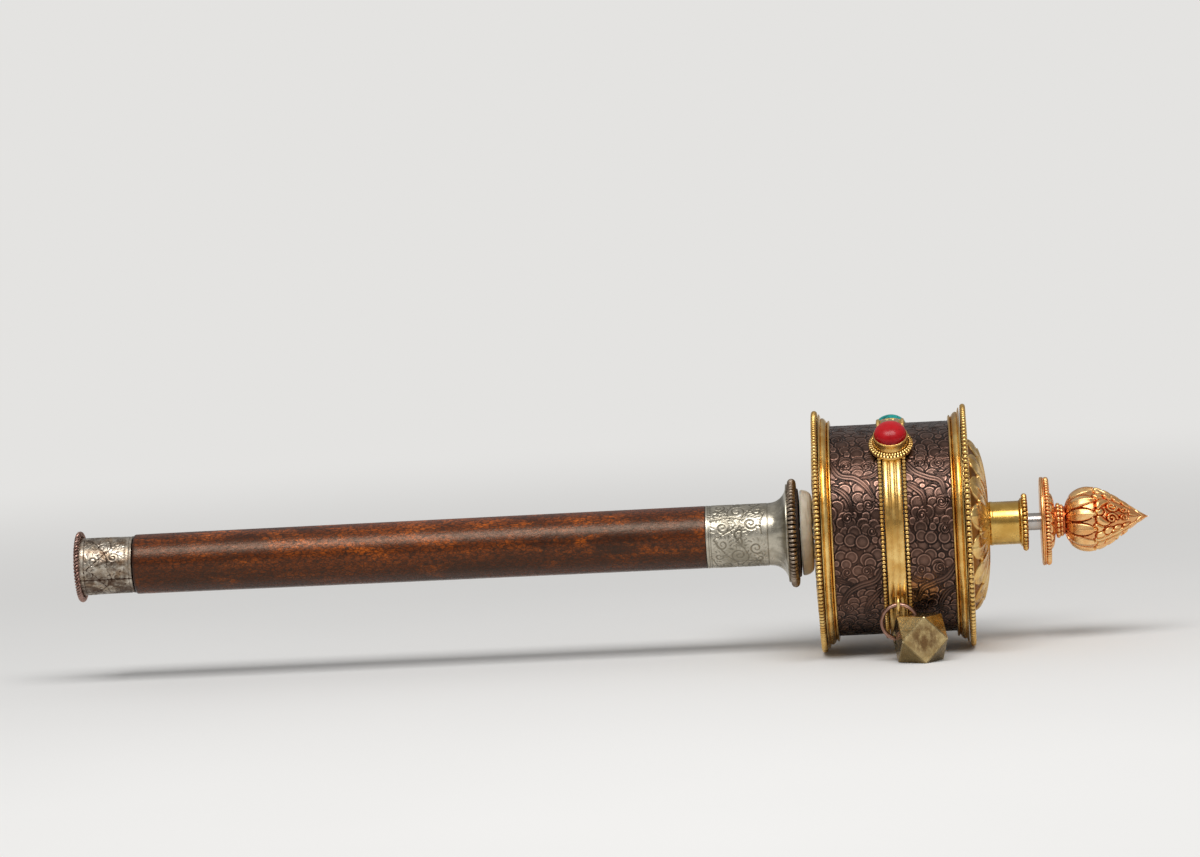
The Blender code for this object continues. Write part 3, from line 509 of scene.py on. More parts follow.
class Chasing:
    """Height map of punched and raised work on an unrolled surface; u goes round and v along."""

    def __init__(self, around_length, along_length, columns, rows):
        self.around = around_length
        self.u = np.arange(columns) * around_length / columns
        self.v = np.linspace(0, along_length, rows)
        self.height = np.zeros((rows, columns))

    def near(self, u, v, reach):
        """Which points lie near a place, and how far from it."""
        across = (self.u - u + self.around / 2) % self.around - self.around / 2
        columns = np.nonzero(np.abs(across) <= reach)[0]
        rows = np.nonzero(np.abs(self.v - v) <= reach)[0]
        return np.ix_(rows, columns), np.hypot(across[columns][None, :], (self.v[rows] - v)[:, None])

    def pebble(self, u, v, radius, rise, groove, line, crown=0.35, lip=0.0):
        """Raised lobe with a line cut round it, over whatever was there.

        A small crown makes its top flat, and a lip stands up just inside the cut.
        """
        where, distance = self.near(u, v, radius + 3 * line)
        lobe = rise * unit(1 - (distance / radius) ** 2) ** crown
        lobe = lobe + lip * bell(radius - LIP_INSET - distance, LIP_WIDTH)
        cut = groove * bell(distance - radius, line)
        self.height[where] = np.where(distance < radius, lobe, np.maximum(self.height[where], -groove)) - cut

    def outline_distance(self, path, half, reach):
        """Distance to the edge of a stroke, below 0 inside it; half may change along the path."""
        distance = np.full(self.height.shape, 99.0)
        for (u, v), size in zip(path, np.broadcast_to(half, len(path))):
            where, near = self.near(u, v, size + reach)
            distance[where] = np.minimum(distance[where], near - size)
        return distance

    def stem(self, path, half, rise, groove, line):
        """Raised stroke with a line cut along both of its sides."""
        distance = self.outline_distance(path, half, 3 * line)
        ridge = rise * np.sqrt(unit(-distance / np.max(half)))
        cut = groove * bell(distance, line)
        self.height = np.where(distance < 0, ridge, self.height) - cut

    def line(self, path, groove, width):
        distance = self.outline_distance(path, 0.0, 3 * width)
        self.height -= groove * bell(distance, width)


def spiral(u, v, outer, inner, start, turns, hand):
    """Path that winds in towards a point."""
    t = np.linspace(0, 1, int(40 * abs(turns)) + 12)
    radius = outer + (inner - outer) * t
    angle = start + hand * TAU * turns * t
    return np.stack([u + radius * np.cos(angle), v + radius * np.sin(angle)], -1)


def sweep(*points):
    """Smooth path through a few points."""
    points = np.array(points, float)
    path = []
    padded = np.concatenate([2 * points[:1] - points[1:2], points, 2 * points[-1:] - points[-2:-1]])
    for a, b, c, d in zip(padded, padded[1:], padded[2:], padded[3:]):
        steps = max(int(np.hypot(*(c - b)) / 0.12), 4)
        for t in np.linspace(0, 1, steps, endpoint=False):
            path.append(0.5 * (2 * b + (c - a) * t + (2 * a - 5 * b + 4 * c - d) * t ** 2
                               + (3 * b - a - 3 * c + d) * t ** 3))
    return np.array([*path, points[-1]])


# Drum

GILT = metal("gilt", (244, 208, 134), (214, 167, 90), (108, 64, 26), (0.22, 0.38), 150.0)
GILT_DEEP = metal("gilt_lotus", (240, 204, 134), (212, 166, 96), (140, 90, 40), (0.24, 0.4))
COPPER = make_copper()
BRASS = metal("brass", (236, 199, 116), (204, 160, 80), (96, 66, 28), (0.16, 0.3), 120.0,
              (300.0, 3000.0, 3000.0), 0.06)
GILT_DRUM = (GILT, "drum", "gilt")
LOTUS_DRUM = (GILT_DEEP, "drum", "gilt")
BRASS_DRUM = (BRASS, "drum", "brass")

CUT_DEPTH = 0.12
CUT_WIDTH = 0.13
CUT = (CUT_DEPTH, CUT_WIDTH)
PANEL_COLUMNS, PANEL_ROWS, PANEL_CELLS = 1080, 84, 6

# Sweeping bands and curls of one cell of the panels, which is 26 round and 12.8 along
CELL_ROUND, CELL_ALONG = 26.0, 12.8
CELL_BANDS = (([(19.4, 0.0), (16.4, 2.4), (14.8, 6.0), (13.0, 9.2), (9.6, 11.0)], 0.95),
              ([(13.4, 0.2), (11.8, 2.6), (9.6, 4.4), (6.6, 5.2)], 0.75),
              ([(17.2, 12.6), (15.6, 10.4), (15.4, 8.2)], 0.6))
CELL_CURLS = ((8.2, 9.6, 1.55, 1.2, 1), (5.2, 4.2, 1.4, 0.9, -1), (18.6, 4.4, 1.3, 4.2, 1),
              (18.4, 9.4, 1.25, 3.0, -1), (2.0, 10.2, 1.1, 2.0, 1))


def clouds_and_scrolls(field, width, seed):
    """Overlapping cloud lobes, crossed by sweeping lined bands that end in curls."""
    rng = np.random.default_rng(seed)
    rows = int(field.around / 2.3)
    lobes = []
    for row in range(rows):
        for v in np.arange(rng.uniform(-2.0, 1.4), width + 1.2, 3.2):
            u = (row + rng.uniform(-0.35, 0.35)) * field.around / rows
            size = rng.uniform(1.6, 2.2) if rng.random() < 0.75 else rng.uniform(0.9, 1.3)
            lobes.append((u, v + rng.uniform(-0.5, 0.5), size))
    for u, v, size in sorted(lobes, reverse=True):
        field.pebble(u, v, size, 0.03, *CUT, 0.7, 0.035)

    cell = field.around / PANEL_CELLS
    for index in range(PANEL_CELLS):
        def at(points):
            u, v = np.array(points, float).T
            v = v * width / CELL_ALONG
            return np.stack([index * cell + u * cell / CELL_ROUND, width - v if index % 2 else v], -1)

        for band, wide in CELL_BANDS:
            path = at(sweep(*(np.array(band) + rng.uniform(-0.4, 0.4, (len(band), 2)))))
            taper = np.sin(np.linspace(0.5, math.pi - 0.25, len(path))) ** 0.7
            field.stem(path, 0.1 + wide * taper, 0.04, *CUT)
            field.line(path, CUT_DEPTH * 0.8, CUT_WIDTH)
        for u, v, size, start, hand in CELL_CURLS:
            centre = at([(u, v)])[0]
            field.pebble(*centre, size * 0.9, 0.05, 0.0, CUT_WIDTH, 1.0)
            field.stem(at(spiral(u, v, size, 0.5, start, 1.15, hand)), 0.26, 0.07, *CUT)
            field.pebble(*centre, 0.42, 0.09, *CUT, 0.5)
    field.height = np.clip(field.height, -0.16, 0.1)


def build_shell():
    """Two chased panels, one on each side of the belt."""
    low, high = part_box("drum_shell")
    radius = (high.y - low.y) * 500 / math.cos(math.pi / 36)
    back = radius - 0.8
    lower = span("lower_rim")[1] - 0.4, span("band_beads_lower")[0] + 0.5
    upper = span("band_beads_upper")[1] - 0.5, span("upper_rim")[0] + 0.4
    for name, (start, end), seed in (("shell_panel_lower", lower, 11), ("shell_panel_upper", upper, 23)):
        field = Chasing(TAU * radius, end - start, PANEL_COLUMNS, PANEL_ROWS)
        clouds_and_scrolls(field, end - start, seed)
        x = stacked(PANEL_COLUMNS, along(start + field.v, PANEL_COLUMNS), end, start)
        r = stacked(PANEL_COLUMNS, radius - 0.02 + field.height, back, back)
        level = stacked(PANEL_COLUMNS, unit(0.5 + field.height / 0.3), 0.5, 0.5)
        add_turned(name, x, r, COPPER, "drum", "dark_copper", "drum_shell", level, 60.0)


def build_rim(name, shell_side, face):
    """Three convex mouldings with lines cut between them, the last one up to the face."""
    bore = 29.4
    wide = face - shell_side
    outline = [(shell_side, bore), (shell_side, 29.9)]
    outline += [(shell_side + wide * 0.24 * s, 30.0 + 0.65 * math.sin(math.pi * s) ** 0.6)
                for s in np.linspace(0, 1, 9)]
    outline += [(shell_side + wide * (0.29 + 0.5 * s), 30.3 + 1.0 * s + 0.5 * math.sin(math.pi * s) ** 0.7)
                for s in np.linspace(0, 1, 16)]
    outline += [(shell_side + wide * (0.82 + 0.18 * s), 31.4 + 1.18 * math.sin(QUARTER * s) ** 0.6)
                for s in np.linspace(0, 1, 8)]
    outline += [(face, bore)]
    if wide < 0:
        outline = outline[::-1]
    x, r = revolve(outline, 240)
    r = r + 0.03 * wobble(x, around(240), 5)
    add_turned(name + "_moulding", x, r, *GILT_DRUM, name, unit((r - 29.9) / 0.7), 45.0)


def petal_ring(r, angle, count, inner, outer, phase=0.0):
    """Raised petals that point outwards, from 0 in the gaps to 1 on their backs."""
    t = unit((r - inner) / (outer - inner))
    across = ((angle * count / TAU + phase) % 1) * 2 - 1
    width = np.clip(1.04 - t ** 2.6, 0.001, 1) ** 0.7 * unit(0.55 + 2.2 * t)
    share = unit(np.abs(across) / width)
    body = np.sqrt(1 - share ** 2.6)
    rib = 0.28 * bell(across, 0.12)
    lip = 0.22 * bell(share - 0.82, 0.1)
    inside = (r > inner) & (r < outer) & (share < 1)
    return np.where(inside, unit(0.72 * body + rib * body + lip), 0.0)


RAISED_LINE = ((0.0, 0.5), (0.22, 0.35), (0.34, 0.1), (0.34, -0.1), (0.22, -0.35), (0.0, -0.5))
NECK_HOLE = 6.35
PETAL_RISE = 0.95
CAP_PETALS = 16


def build_upper_cap():
    """Domed lotus: two tiers of petals whose tips point out to a flat edge with raised lines."""
    start, end = span("upper_cap")
    columns = 600
    angle = around(columns)
    edge = start + 1.3
    turn = np.linspace(0, QUARTER, 90)[:, None]
    out = 1 - turn / QUARTER * np.ones((1, columns))
    depth, reach = end - edge - 0.9, 16.9
    upper = petal_ring(out, angle, CAP_PETALS, 0.02, 0.66, 0.5)
    lower = petal_ring(out, angle, CAP_PETALS, 0.34, 1.0)
    tier = np.maximum(lower * 0.72, upper)
    lean = np.hypot(np.sin(turn) * reach, np.cos(turn) * depth)
    x = edge + depth * np.sin(turn) + PETAL_RISE * tier * np.sin(turn) * reach / lean
    r = NECK_HOLE + reach * np.cos(turn) + PETAL_RISE * tier * np.cos(turn) * depth / lean
    lines = [(edge + lift, line + side) for line in (29.7, 25.1) for lift, side in RAISED_LINE]
    rim = [(start, 31.4), (edge - 0.15, 31.4), (edge, 31.25), *lines, (edge, 23.6)]
    rim_x, rim_r = revolve(rim, columns)
    x = stacked(columns, rim_x, np.minimum(x, end), start)
    r = stacked(columns, rim_r, r, NECK_HOLE)
    level = stacked(columns, *[0.8] * len(rim), unit(0.05 + 1.3 * tier), 0.0)
    add_turned("lotus_cap", x, r, *LOTUS_DRUM, "upper_cap", level, 60.0)


def build_lower_cap():
    """Flat lotus on the handle side."""
    outer_face, inner_face = span("lower_cap")
    columns = 480
    angle = around(columns)
    inner, outer = 5.4, 31.2
    radii = np.concatenate([np.linspace(inner, 23.8, 70), np.linspace(24.0, 25.8, 13),
                            np.linspace(26.2, outer, 14)])[:, None]
    r = radii * np.ones((1, columns))
    tier = np.maximum(petal_ring(r, angle, 20, 12.4, 24.0) * 0.85, petal_ring(r, angle, 14, 5.5, 14.2, 0.5))
    ground = outer_face + 0.85 + 0.45 * unit((radii - 20) / 11)
    lines = sum(bell(radii - line, 0.32) for line in (24.9, 29.2))
    x = ground - 0.8 * tier - 0.4 * lines + 0.03 * wobble(r, angle * 3, 25)
    level = unit(np.where(r > 24.1, 0.62 + 0.3 * lines, 0.2 + tier))
    x, r = stacked(columns, inner_face, x, inner_face), stacked(columns, inner, r, outer)
    add_turned("lotus_plate", x, r, *LOTUS_DRUM, "lower_cap", stacked(columns, 0.0, level, 0.0), 60.0)


def build_band():
    """Belt of three flat-backed ridges between two beaded wires."""
    start, end = span("center_band")
    ridge = (end - start) / 3
    outline = [(start, 29.4)]
    for index in range(3):
        outline += [(start + (index + s) * ridge, 29.75 + 0.62 * math.sin(math.pi * s) ** 0.45)
                    for s in np.linspace(0.04, 0.96, 11)]
    outline += [(end, 29.4)]
    x, r = revolve(outline, 240)
    r = r + 0.025 * wobble(x * 3, around(240), 8)
    add_turned("belt_ridges", x, r, *GILT_DRUM, "center_band", unit((r - 29.75) / 0.5), 50.0)
    for name, shift in (("band_beads_lower", 0.05), ("band_beads_upper", -0.05)):
        add_beads(name + "_wire", name, shift, (29.85, 0.58, 164, 8, 8), GILT_DRUM)


def build_rim_beads():
    """Beaded wires that the drum lies on."""
    for name, count, size in (("lower_rim_beads", 176, 0.85), ("upper_rim_beads", 140, 0.8)):
        add_beads(name + "_wire", name, 0.0, (AXIS - 0.01 - size, size, count, 10, 8), GILT_DRUM)


def build_neck():
    """Brass neck with a raised line and a flared mouth, and a beaded wire round it."""
    start, end = span("neck_tube")
    flare = [(end - 1.2 + 0.7 * s, 6.0 + 0.7 * s ** 2) for s in np.linspace(0, 1, 6)]
    outline = [(start, 4.4), (start, 6.0), (start + 4.8, 6.0), (start + 5.1, 6.12), (start + 5.5, 6.12),
               (start + 5.8, 6.0), *flare, (end, 6.7), (end, 4.4)]
    x, r = revolve(rounded(outline, 0.15, 3), 128)
    r = r + 0.02 * wobble(x, around(128), 4)
    add_turned("neck_sleeve", x, r, *BRASS_DRUM, "neck_tube")
    add_beads("neck_beads", "neck_bead_ring", -0.4, (7.2, 0.8, 38, 12, 10), GILT_DRUM)


def upright(verts, angle):
    """Turn a shape made about the axle so that it stands out from the drum at an angle."""
    out = np.array([0.0, -math.cos(angle), math.sin(angle)])
    along_axle = np.array([1.0, 0.0, 0.0])
    side = np.cross(out, along_axle)
    return verts @ np.array([out, along_axle, side]) + (DRUM_X, 0, 0)


CORAL = make_stone("coral", (178, 9, 20), (192, 18, 28), (146, 5, 14))
TURQUOISE = make_stone("turquoise", (10, 138, 134), (30, 158, 150), (6, 104, 104), (24, 42, 40))

# Distance from the axle and radius of the bezel's outline, and of its rows of beads with their size and count
BEZEL = rounded([(29.6, 3.0), (29.6, 5.7), (30.2, 5.9), (30.7, 5.8), (31.2, 5.3), (31.6, 4.85), (33.2, 4.7),
                 (34.1, 4.75), (34.3, 4.6), (34.3, 4.42), (33.2, 4.2), (32.9, 3.0)], 0.12, 3)
BEZEL_BEADS = ((31.5, 5.3, 0.42, 44), (30.9, 5.68, 0.48, 38))
STONE = [(33.2, CENTRE), (33.2, 4.05), (33.9, 4.35), (34.3, 4.45),
         *[(34.5 + 2.9 * math.sin(a), CENTRE + 4.4 * math.cos(a)) for a in np.linspace(0, QUARTER, 22)]]
STONES = (("coral_front", 54, CORAL, "coral"), ("turquoise", 130, TURQUOISE, "turquoise"),
          ("coral_back", 206, CORAL, "coral"))


def build_settings():
    """Each stone in a bezel on a stepped foot, with two rows of beads round it."""
    for name, degrees, material, slot in STONES:
        angle = math.radians(degrees)
        x, r = revolve(BEZEL, 72)
        r = r + 0.03 * wobble(x, around(72), degrees)
        verts, faces = ring_grid(x, r)
        level = unit((r - 4.3) / 0.5)
        add_piece("bezel_" + name, upright(verts, angle), faces, *GILT_DRUM, "setting_" + name, level)

        rings = [beaded_ring(*row, 8, 8) for row in BEZEL_BEADS]
        verts, faces = joined([(upright(verts, angle), faces) for verts, faces, _ in rings])
        level = np.concatenate([level.ravel() for _, _, level in rings])
        add_piece("bezel_beads_" + name, verts, faces, *GILT_DRUM, "setting_beads_" + name, level)

        x, r = revolve(STONE, 72)
        r = np.maximum(r * (1 + 0.012 * wobble(x * 4, around(72), degrees + 1)), CENTRE)
        verts, faces = ring_grid(x, r)
        add_piece("cabochon_" + name, upright(verts, angle), faces, material, "drum", slot, "stone_" + name)


build_shell()
build_rim("lower_rim", *span("lower_rim")[::-1])
build_rim("upper_rim", *span("upper_rim"))
build_upper_cap()
build_lower_cap()
build_band()
build_rim_beads()
build_neck()
build_settings()


# Handle and bearing

SILVERED = make_silvered()
WHITE_METAL = make_white_metal()
DARK_STEEL = metal("dark_steel", (176, 160, 142), (126, 108, 92), (58, 45, 36), (0.3, 0.48), 300.0)
STEEL = metal("axle_steel", (196, 190, 184), (160, 150, 142), (90, 80, 74), (0.14, 0.3), 200.0,
              (3000.0, 300.0, 300.0), 0.08)
ROPE_WIRE = metal("rope_wire", (172, 140, 128), (122, 88, 78), (40, 24, 20), (0.26, 0.44), 300.0)
SILVERED_HANDLE = (SILVERED, "handle", "silvered_copper")


def skin(count):
    """1 on the rows of the outside, and 0 on the first and last, which close the ends."""
    made = np.ones((count, 1))
    made[[0, -1]] = 0
    return made


def build_grip():
    """Turned handle, a little thicker towards the ferrule, with its ends eased."""
    start, end = span("end_cap")[1] + 0.3, span("ferrule")[0] - 0.05
    eased = np.array([0.15, 0.4])
    rows = np.concatenate([[start, start], start + eased, np.linspace(start + 0.8, end - 0.8, 190),
                           end - eased[::-1], [end, end]])
    radius = 8.35 + 0.35 * (rows - start) / (end - start)
    radius[[0, -1]] = 5.0
    radius[1] -= 0.4
    radius[2] -= 0.15
    columns = 112
    x = along(rows, columns)
    r = radius[:, None] + skin(len(rows)) * (0.05 * wobble(x * 0.35, around(columns), 3) - 0.03)
    level = unit(0.2 + (x - start) / 1.6) * unit(0.6 + (end - x) / 1.6)
    add_turned("handle_grip", x, r, make_wood(), "handle", "wood", "grip", level)


def hatches(u, v, size, count, near, far, bend, steps, rng):
    """Short bent strokes that stand out all round a curl."""
    for fan in np.linspace(0, TAU, count):
        reach = np.linspace(size + near, size + rng.uniform(*far), steps)
        turn = fan + bend * reach
        yield np.stack([u + reach * np.cos(turn), v + reach * np.sin(turn)], -1)


# Place, size, first angle, turns and hand of each curl, and the stems between them
SLEEVE_CURLS = ((2.2, 4.2, 1.7, 0.4, 1.4, 1), (6.4, 6.6, 1.9, 3.2, 1.4, -1), (3.0, 9.6, 1.6, 2.0, 1.3, -1),
                (8.4, 2.8, 1.1, 1.0, 1.2, 1), (7.6, 10.6, 1.3, 5.0, 1.3, 1))
SLEEVE_STEMS = ([(0.0, 2.2), (3.4, 6.4), (6.6, 9.0), (10.0, 8.0)],
                [(0.4, 8.0), (4.0, 7.4), (8.0, 4.6), (10.0, 1.8)])
SLEEVE_CELLS = 5
SLEEVE_RADIUS = 8.1
SEAM = math.radians(-24)  # where the edges of the sleeve lap


def engrave_sleeve(field, length):
    """Loose scrolls and a row of dots near the mouth, cut round the end sleeve."""
    rng = np.random.default_rng(47)
    for foot in np.arange(SLEEVE_CELLS) * field.around / SLEEVE_CELLS:
        for u, v, size, start, turns, hand in SLEEVE_CURLS:
            start = start + rng.uniform(-0.4, 0.4)
            field.line(spiral(foot + u, v, size, 0.3, start, turns, hand), 0.12, 0.17)
            for stroke in hatches(foot + u, v, size, 9, 0.3, (0.7, 1.1), 0.3, 5, rng):
                field.line(stroke, 0.09, 0.14)
        for stem in SLEEVE_STEMS:
            field.line(sweep(*(np.array(stem) + (foot, 0))), 0.12, 0.17)
    for u in np.arange(0, field.around, 0.9):
        field.pebble(u, length - 1.5, 0.26, -0.08, 0.06, 0.12, 1.0)
    field.height = np.clip(field.height, -0.16, 0.0)


def build_end_cap():
    """Engraved sleeve with a lapped seam and small dents."""
    start, end = span("end_cap")
    length = end - start - 0.6
    columns = 320
    angle = around(columns)
    field = Chasing(TAU * SLEEVE_RADIUS, length, columns, 96)
    engrave_sleeve(field, length)
    rows = np.concatenate([[start, start], start + 0.1 + field.v, [end - 0.25, end, end]])
    radius = SLEEVE_RADIUS - 0.15 * (rows - start) / (end - start)
    radius[[0, -1]] = 7.2
    radius[-3:-1] += 0.05
    x = along(rows, columns)
    cut = stacked(columns, 0.0, 0.0, field.height, 0.0, 0.0, 0.0)
    seam_at = (angle - SEAM + math.pi) % TAU - math.pi
    seam = bell(seam_at * 8.0, 0.22)
    lap = 0.09 * unit(1 - np.abs(seam_at * 8.0 - 0.8) / 0.9)
    ring_line = bell(x - end + 0.8, 0.16) + bell(x - start - 1.4, 0.16)
    dents = 0.07 * wobble(x * 2.2, angle, 9)
    r = radius[:, None] + cut + skin(len(rows)) * (dents - 0.16 * seam + lap - 0.1 * ring_line - 0.07)
    worn = 0.5 + 0.5 * unit((end - x) / 0.6)
    level = unit(1 - 0.9 * seam - 0.7 * ring_line + cut / 0.16) * worn
    add_turned("end_sleeve", x, r, *SILVERED_HANDLE, "end_cap", level, 60.0)


def build_end_plate():
    """Dished plate that closes the sleeve, with a twisted wire round it."""
    start, end = span("end_cap_disc")
    radii = np.linspace(CENTRE, 7.9, 26)
    face = start + 0.28 - 0.2 * np.cos(radii / SLEEVE_RADIUS * math.pi / 2)
    outline = [*zip(face, radii), (start + 0.35, 8.2), (end - 0.15, 8.3), (end, 8.1), (end, CENTRE)]
    x, r = revolve(outline, 96)
    x = x + 0.05 * wobble(r * 2.5, around(96), 14) * (r < 7.6) * (x < end - 0.3)
    level = np.clip(1.1 - np.abs(r - 7.2) * 0.1, 0.6, 1)
    add_turned("end_plate", x, r, *SILVERED_HANDLE, "end_cap_disc", level, 60.0)

    station, ring_radius = middle("end_cap_rope_ring")[0], 9.12
    turn = TAU * np.arange(720) / 720
    strands = []
    for phase in (0.0, math.pi):
        twist = 30 * turn + phase
        ring = ring_radius + 0.45 * np.cos(twist)
        path = np.stack([station + 0.45 * np.sin(twist), -ring * np.cos(turn), ring * np.sin(turn)], -1)
        strands.append(tube(path, 0.36, 9, closed=True))
    verts, faces = joined(strands)
    from_core = np.hypot(verts[:, 0] - station, np.hypot(verts[:, 1], verts[:, 2]) - ring_radius)
    level = unit((from_core - 0.5) / 0.26)
    add_piece("rope_wire", verts, faces, ROPE_WIRE, "handle", "copper_wire", "end_cap_rope_ring", level)


FERRULE_CURLS = ((3.2, 4.6, 2.0, 0.0, 1.5, 1), (8.6, 8.6, 2.2, 3.0, 1.5, -1), (4.2, 12.4, 1.8, 2.0, 1.4, 1),
                 (10.8, 3.8, 1.8, 4.0, 1.4, -1), (12.2, 13.2, 1.5, 1.0, 1.3, 1),
                 (13.0, 8.6, 1.2, 2.4, 1.2, 1), (7.2, 3.0, 1.0, 1.4, 1.1, 1),
                 (8.4, 14.2, 1.1, 5.0, 1.1, -1), (1.0, 9.0, 1.3, 0.6, 1.2, -1))
FERRULE_STEMS = ([(0.0, 2.0), (3.5, 8.0), (8.0, 6.0), (13.7, 9.0)],
                 [(0.5, 10.0), (5.0, 9.2), (9.0, 12.2), (13.4, 15.4)],
                 [(1.0, 15.5), (4.0, 15.0), (7.5, 16.0)], [(5.4, 1.2), (6.4, 6.2), (5.6, 10.4)])
FERRULE_CELLS, FERRULE_CELL_ROUND = 4, 13.7


def engrave_ferrule(field, length):
    """Dense leafy scrolls with short hatching, cut round the ferrule."""
    rng = np.random.default_rng(31)
    cell = field.around / FERRULE_CELLS
    for index in range(FERRULE_CELLS):
        def at(points):
            u, v = np.array(points, float).T
            u = index * cell + u * cell / FERRULE_CELL_ROUND
            return np.stack([u, length - v if index % 2 else v], -1)

        for u, v, size, start, turns, hand in FERRULE_CURLS:
            field.line(at(spiral(u, v, size, 0.35, start, turns, hand)), 0.13, 0.18)
            field.line(at(spiral(u, v, size + 0.35, 0.9, start, turns * 0.6, hand)), 0.09, 0.15)
            for stroke in hatches(u, v, size, 15, 0.5, (0.9, 1.5), 0.25, 6, rng):
                field.line(at(stroke), 0.09, 0.15)
        for stem in FERRULE_STEMS:
            field.line(at(sweep(*stem)), 0.13, 0.18)
    field.height = np.clip(field.height, -0.15, 0.0)


def build_ferrule():
    """Engraved sleeve that flares, with faint flutes, into a beaded flange."""
    start, end = span("ferrule")
    columns, rows = 460, 120
    straight, sleeve, edge = 17.6, 8.7, 13.6
    field = Chasing(TAU * sleeve, straight, columns, rows)
    engrave_ferrule(field, straight)
    for v in (0.7, 1.25, straight - 0.5):
        field.height -= 0.12 * bell(field.v[:, None] - v, 0.15)
    turn = np.linspace(0, QUARTER, 22)[1:]
    flare_start = start + 0.2 + straight
    flare_x = flare_start + (end - 0.7 - flare_start) * np.sin(turn)
    flare_r = sleeve + (edge - sleeve) * (1 - np.cos(turn))
    stations = np.concatenate([[start, start], start + 0.2 + field.v, flare_x, [end - 0.15, end, end]])
    radii = np.concatenate([[8.0, 8.5], np.full(rows, sleeve), flare_r, [edge, 13.4, BORE]])
    x = along(stations, columns)
    height = stacked(columns, 0.0, 0.0, field.height, *[0.0] * (len(turn) + 3))
    fluting = (0.12 * np.sin(turn * 2) ** 2)[:, None] * (np.abs(np.sin(12 * around(columns))) - 1)
    flutes = stacked(columns, *[0.0] * (rows + 2), fluting, 0.0, 0.0, 0.0)
    r = radii[:, None] + height + flutes + 0.02 * wobble(x, around(columns), 6)
    level = unit(1 + height / 0.12 + flutes / 0.2)
    add_turned("chased_ferrule", x, r, WHITE_METAL, "handle", "white_metal", "ferrule", level, 60.0)
    add_beads("flange_beads", "ferrule_bead_ring", -0.5, (13.9, 1.2, 72, 14, 10),
              (DARK_STEEL, "handle", "dark_steel"))


def build_bearing():
    """Dark washer, shell ring and the axle through them."""
    start, end = span("bearing_washer")
    outline = rounded([(start, BORE), (start + 0.2, 12.2), (end - 0.1, 12.35), (end, BORE)], 0.5, 5)
    x, r = revolve(outline, 96)
    x = np.clip(x + 0.18 * wobble(r * 0.8, around(96), 12), start, end)
    add_turned("washer", x, r, make_leather(), "handle", "dark_leather", "bearing_washer")

    start, end = span("bearing_ring")
    crown = [(start + (end - start) * math.sin(a), 9.4 + 2.6 * math.cos(a) ** 0.8)
             for a in np.linspace(0.12, QUARTER, 18)]
    x, r = revolve([(start, 2.65), (start, 11.7), *crown, (end, 2.65)], 128)
    r = np.minimum(r + (r > 5) * (0.1 * wobble(x * 2, around(128), 17) - 0.08), 12.0)
    add_turned("shell_ring", x, r, make_conch(), "bearing", "conch", "bearing_ring")

    start, end = span("axle")
    rod = 2.4
    ends = rounded([(start, CENTRE), (start, rod), (end, rod), (end, CENTRE)], 0.3, 4)
    outline = [*[point for point in ends if point[0] < start + 0.5],
               *[(station, rod) for station in np.linspace(start + 1, end - 1, 120)],
               *[point for point in ends if point[0] > end - 0.5]]
    x, r = revolve(outline, 48)
    r = np.maximum(r - 0.02 * (r > 2) * (1 + wobble(x * 3, around(48), 21)), CENTRE)
    add_turned("axle_rod", x, r, STEEL, "handle", "steel", "axle")


build_grip()
build_end_cap()
build_end_plate()
build_ferrule()
build_bearing()


# Finial

COPPER_GILT = metal("copper_gilt", (252, 208, 146), (240, 178, 114), (196, 102, 56), (0.24, 0.4), 220.0)
GILT_FINIAL = (COPPER_GILT, "handle", "copper_gilt")
BUD_PETALS, BUD_LEAVES = 12, 3
FIRST_RIB = math.radians(80)
BUD_WIDEST = 9.05  # radius
BUD_SHOULDER = 6.5  # how far along the bud is widest
PETAL_LENGTH = 7.9


def bud_radius(s):
    """Outline of the bud: a round shoulder, then a pointed cone."""
    shoulder = 3.3 + 5.75 * np.sqrt(unit(1 - (1 - np.minimum(s, BUD_SHOULDER) / BUD_SHOULDER) ** 2))
    share = unit((s - BUD_SHOULDER) / 16.6)
    cone = BUD_WIDEST * (1 - share) * (1 + 0.9 * share * (1 - share))
    return np.where(s < BUD_SHOULDER, shoulder, cone)


# Place and size of each lobe beside the middle of a leaf
LEAF_LOBES = ((7.2, 9.7, 1.5), (4.7, 9.2, 1.6), (5.6, 11.9, 1.4), (4.4, 14.4, 1.2), (3.2, 16.8, 1.1),
              (0.0, 9.4, 1.3))


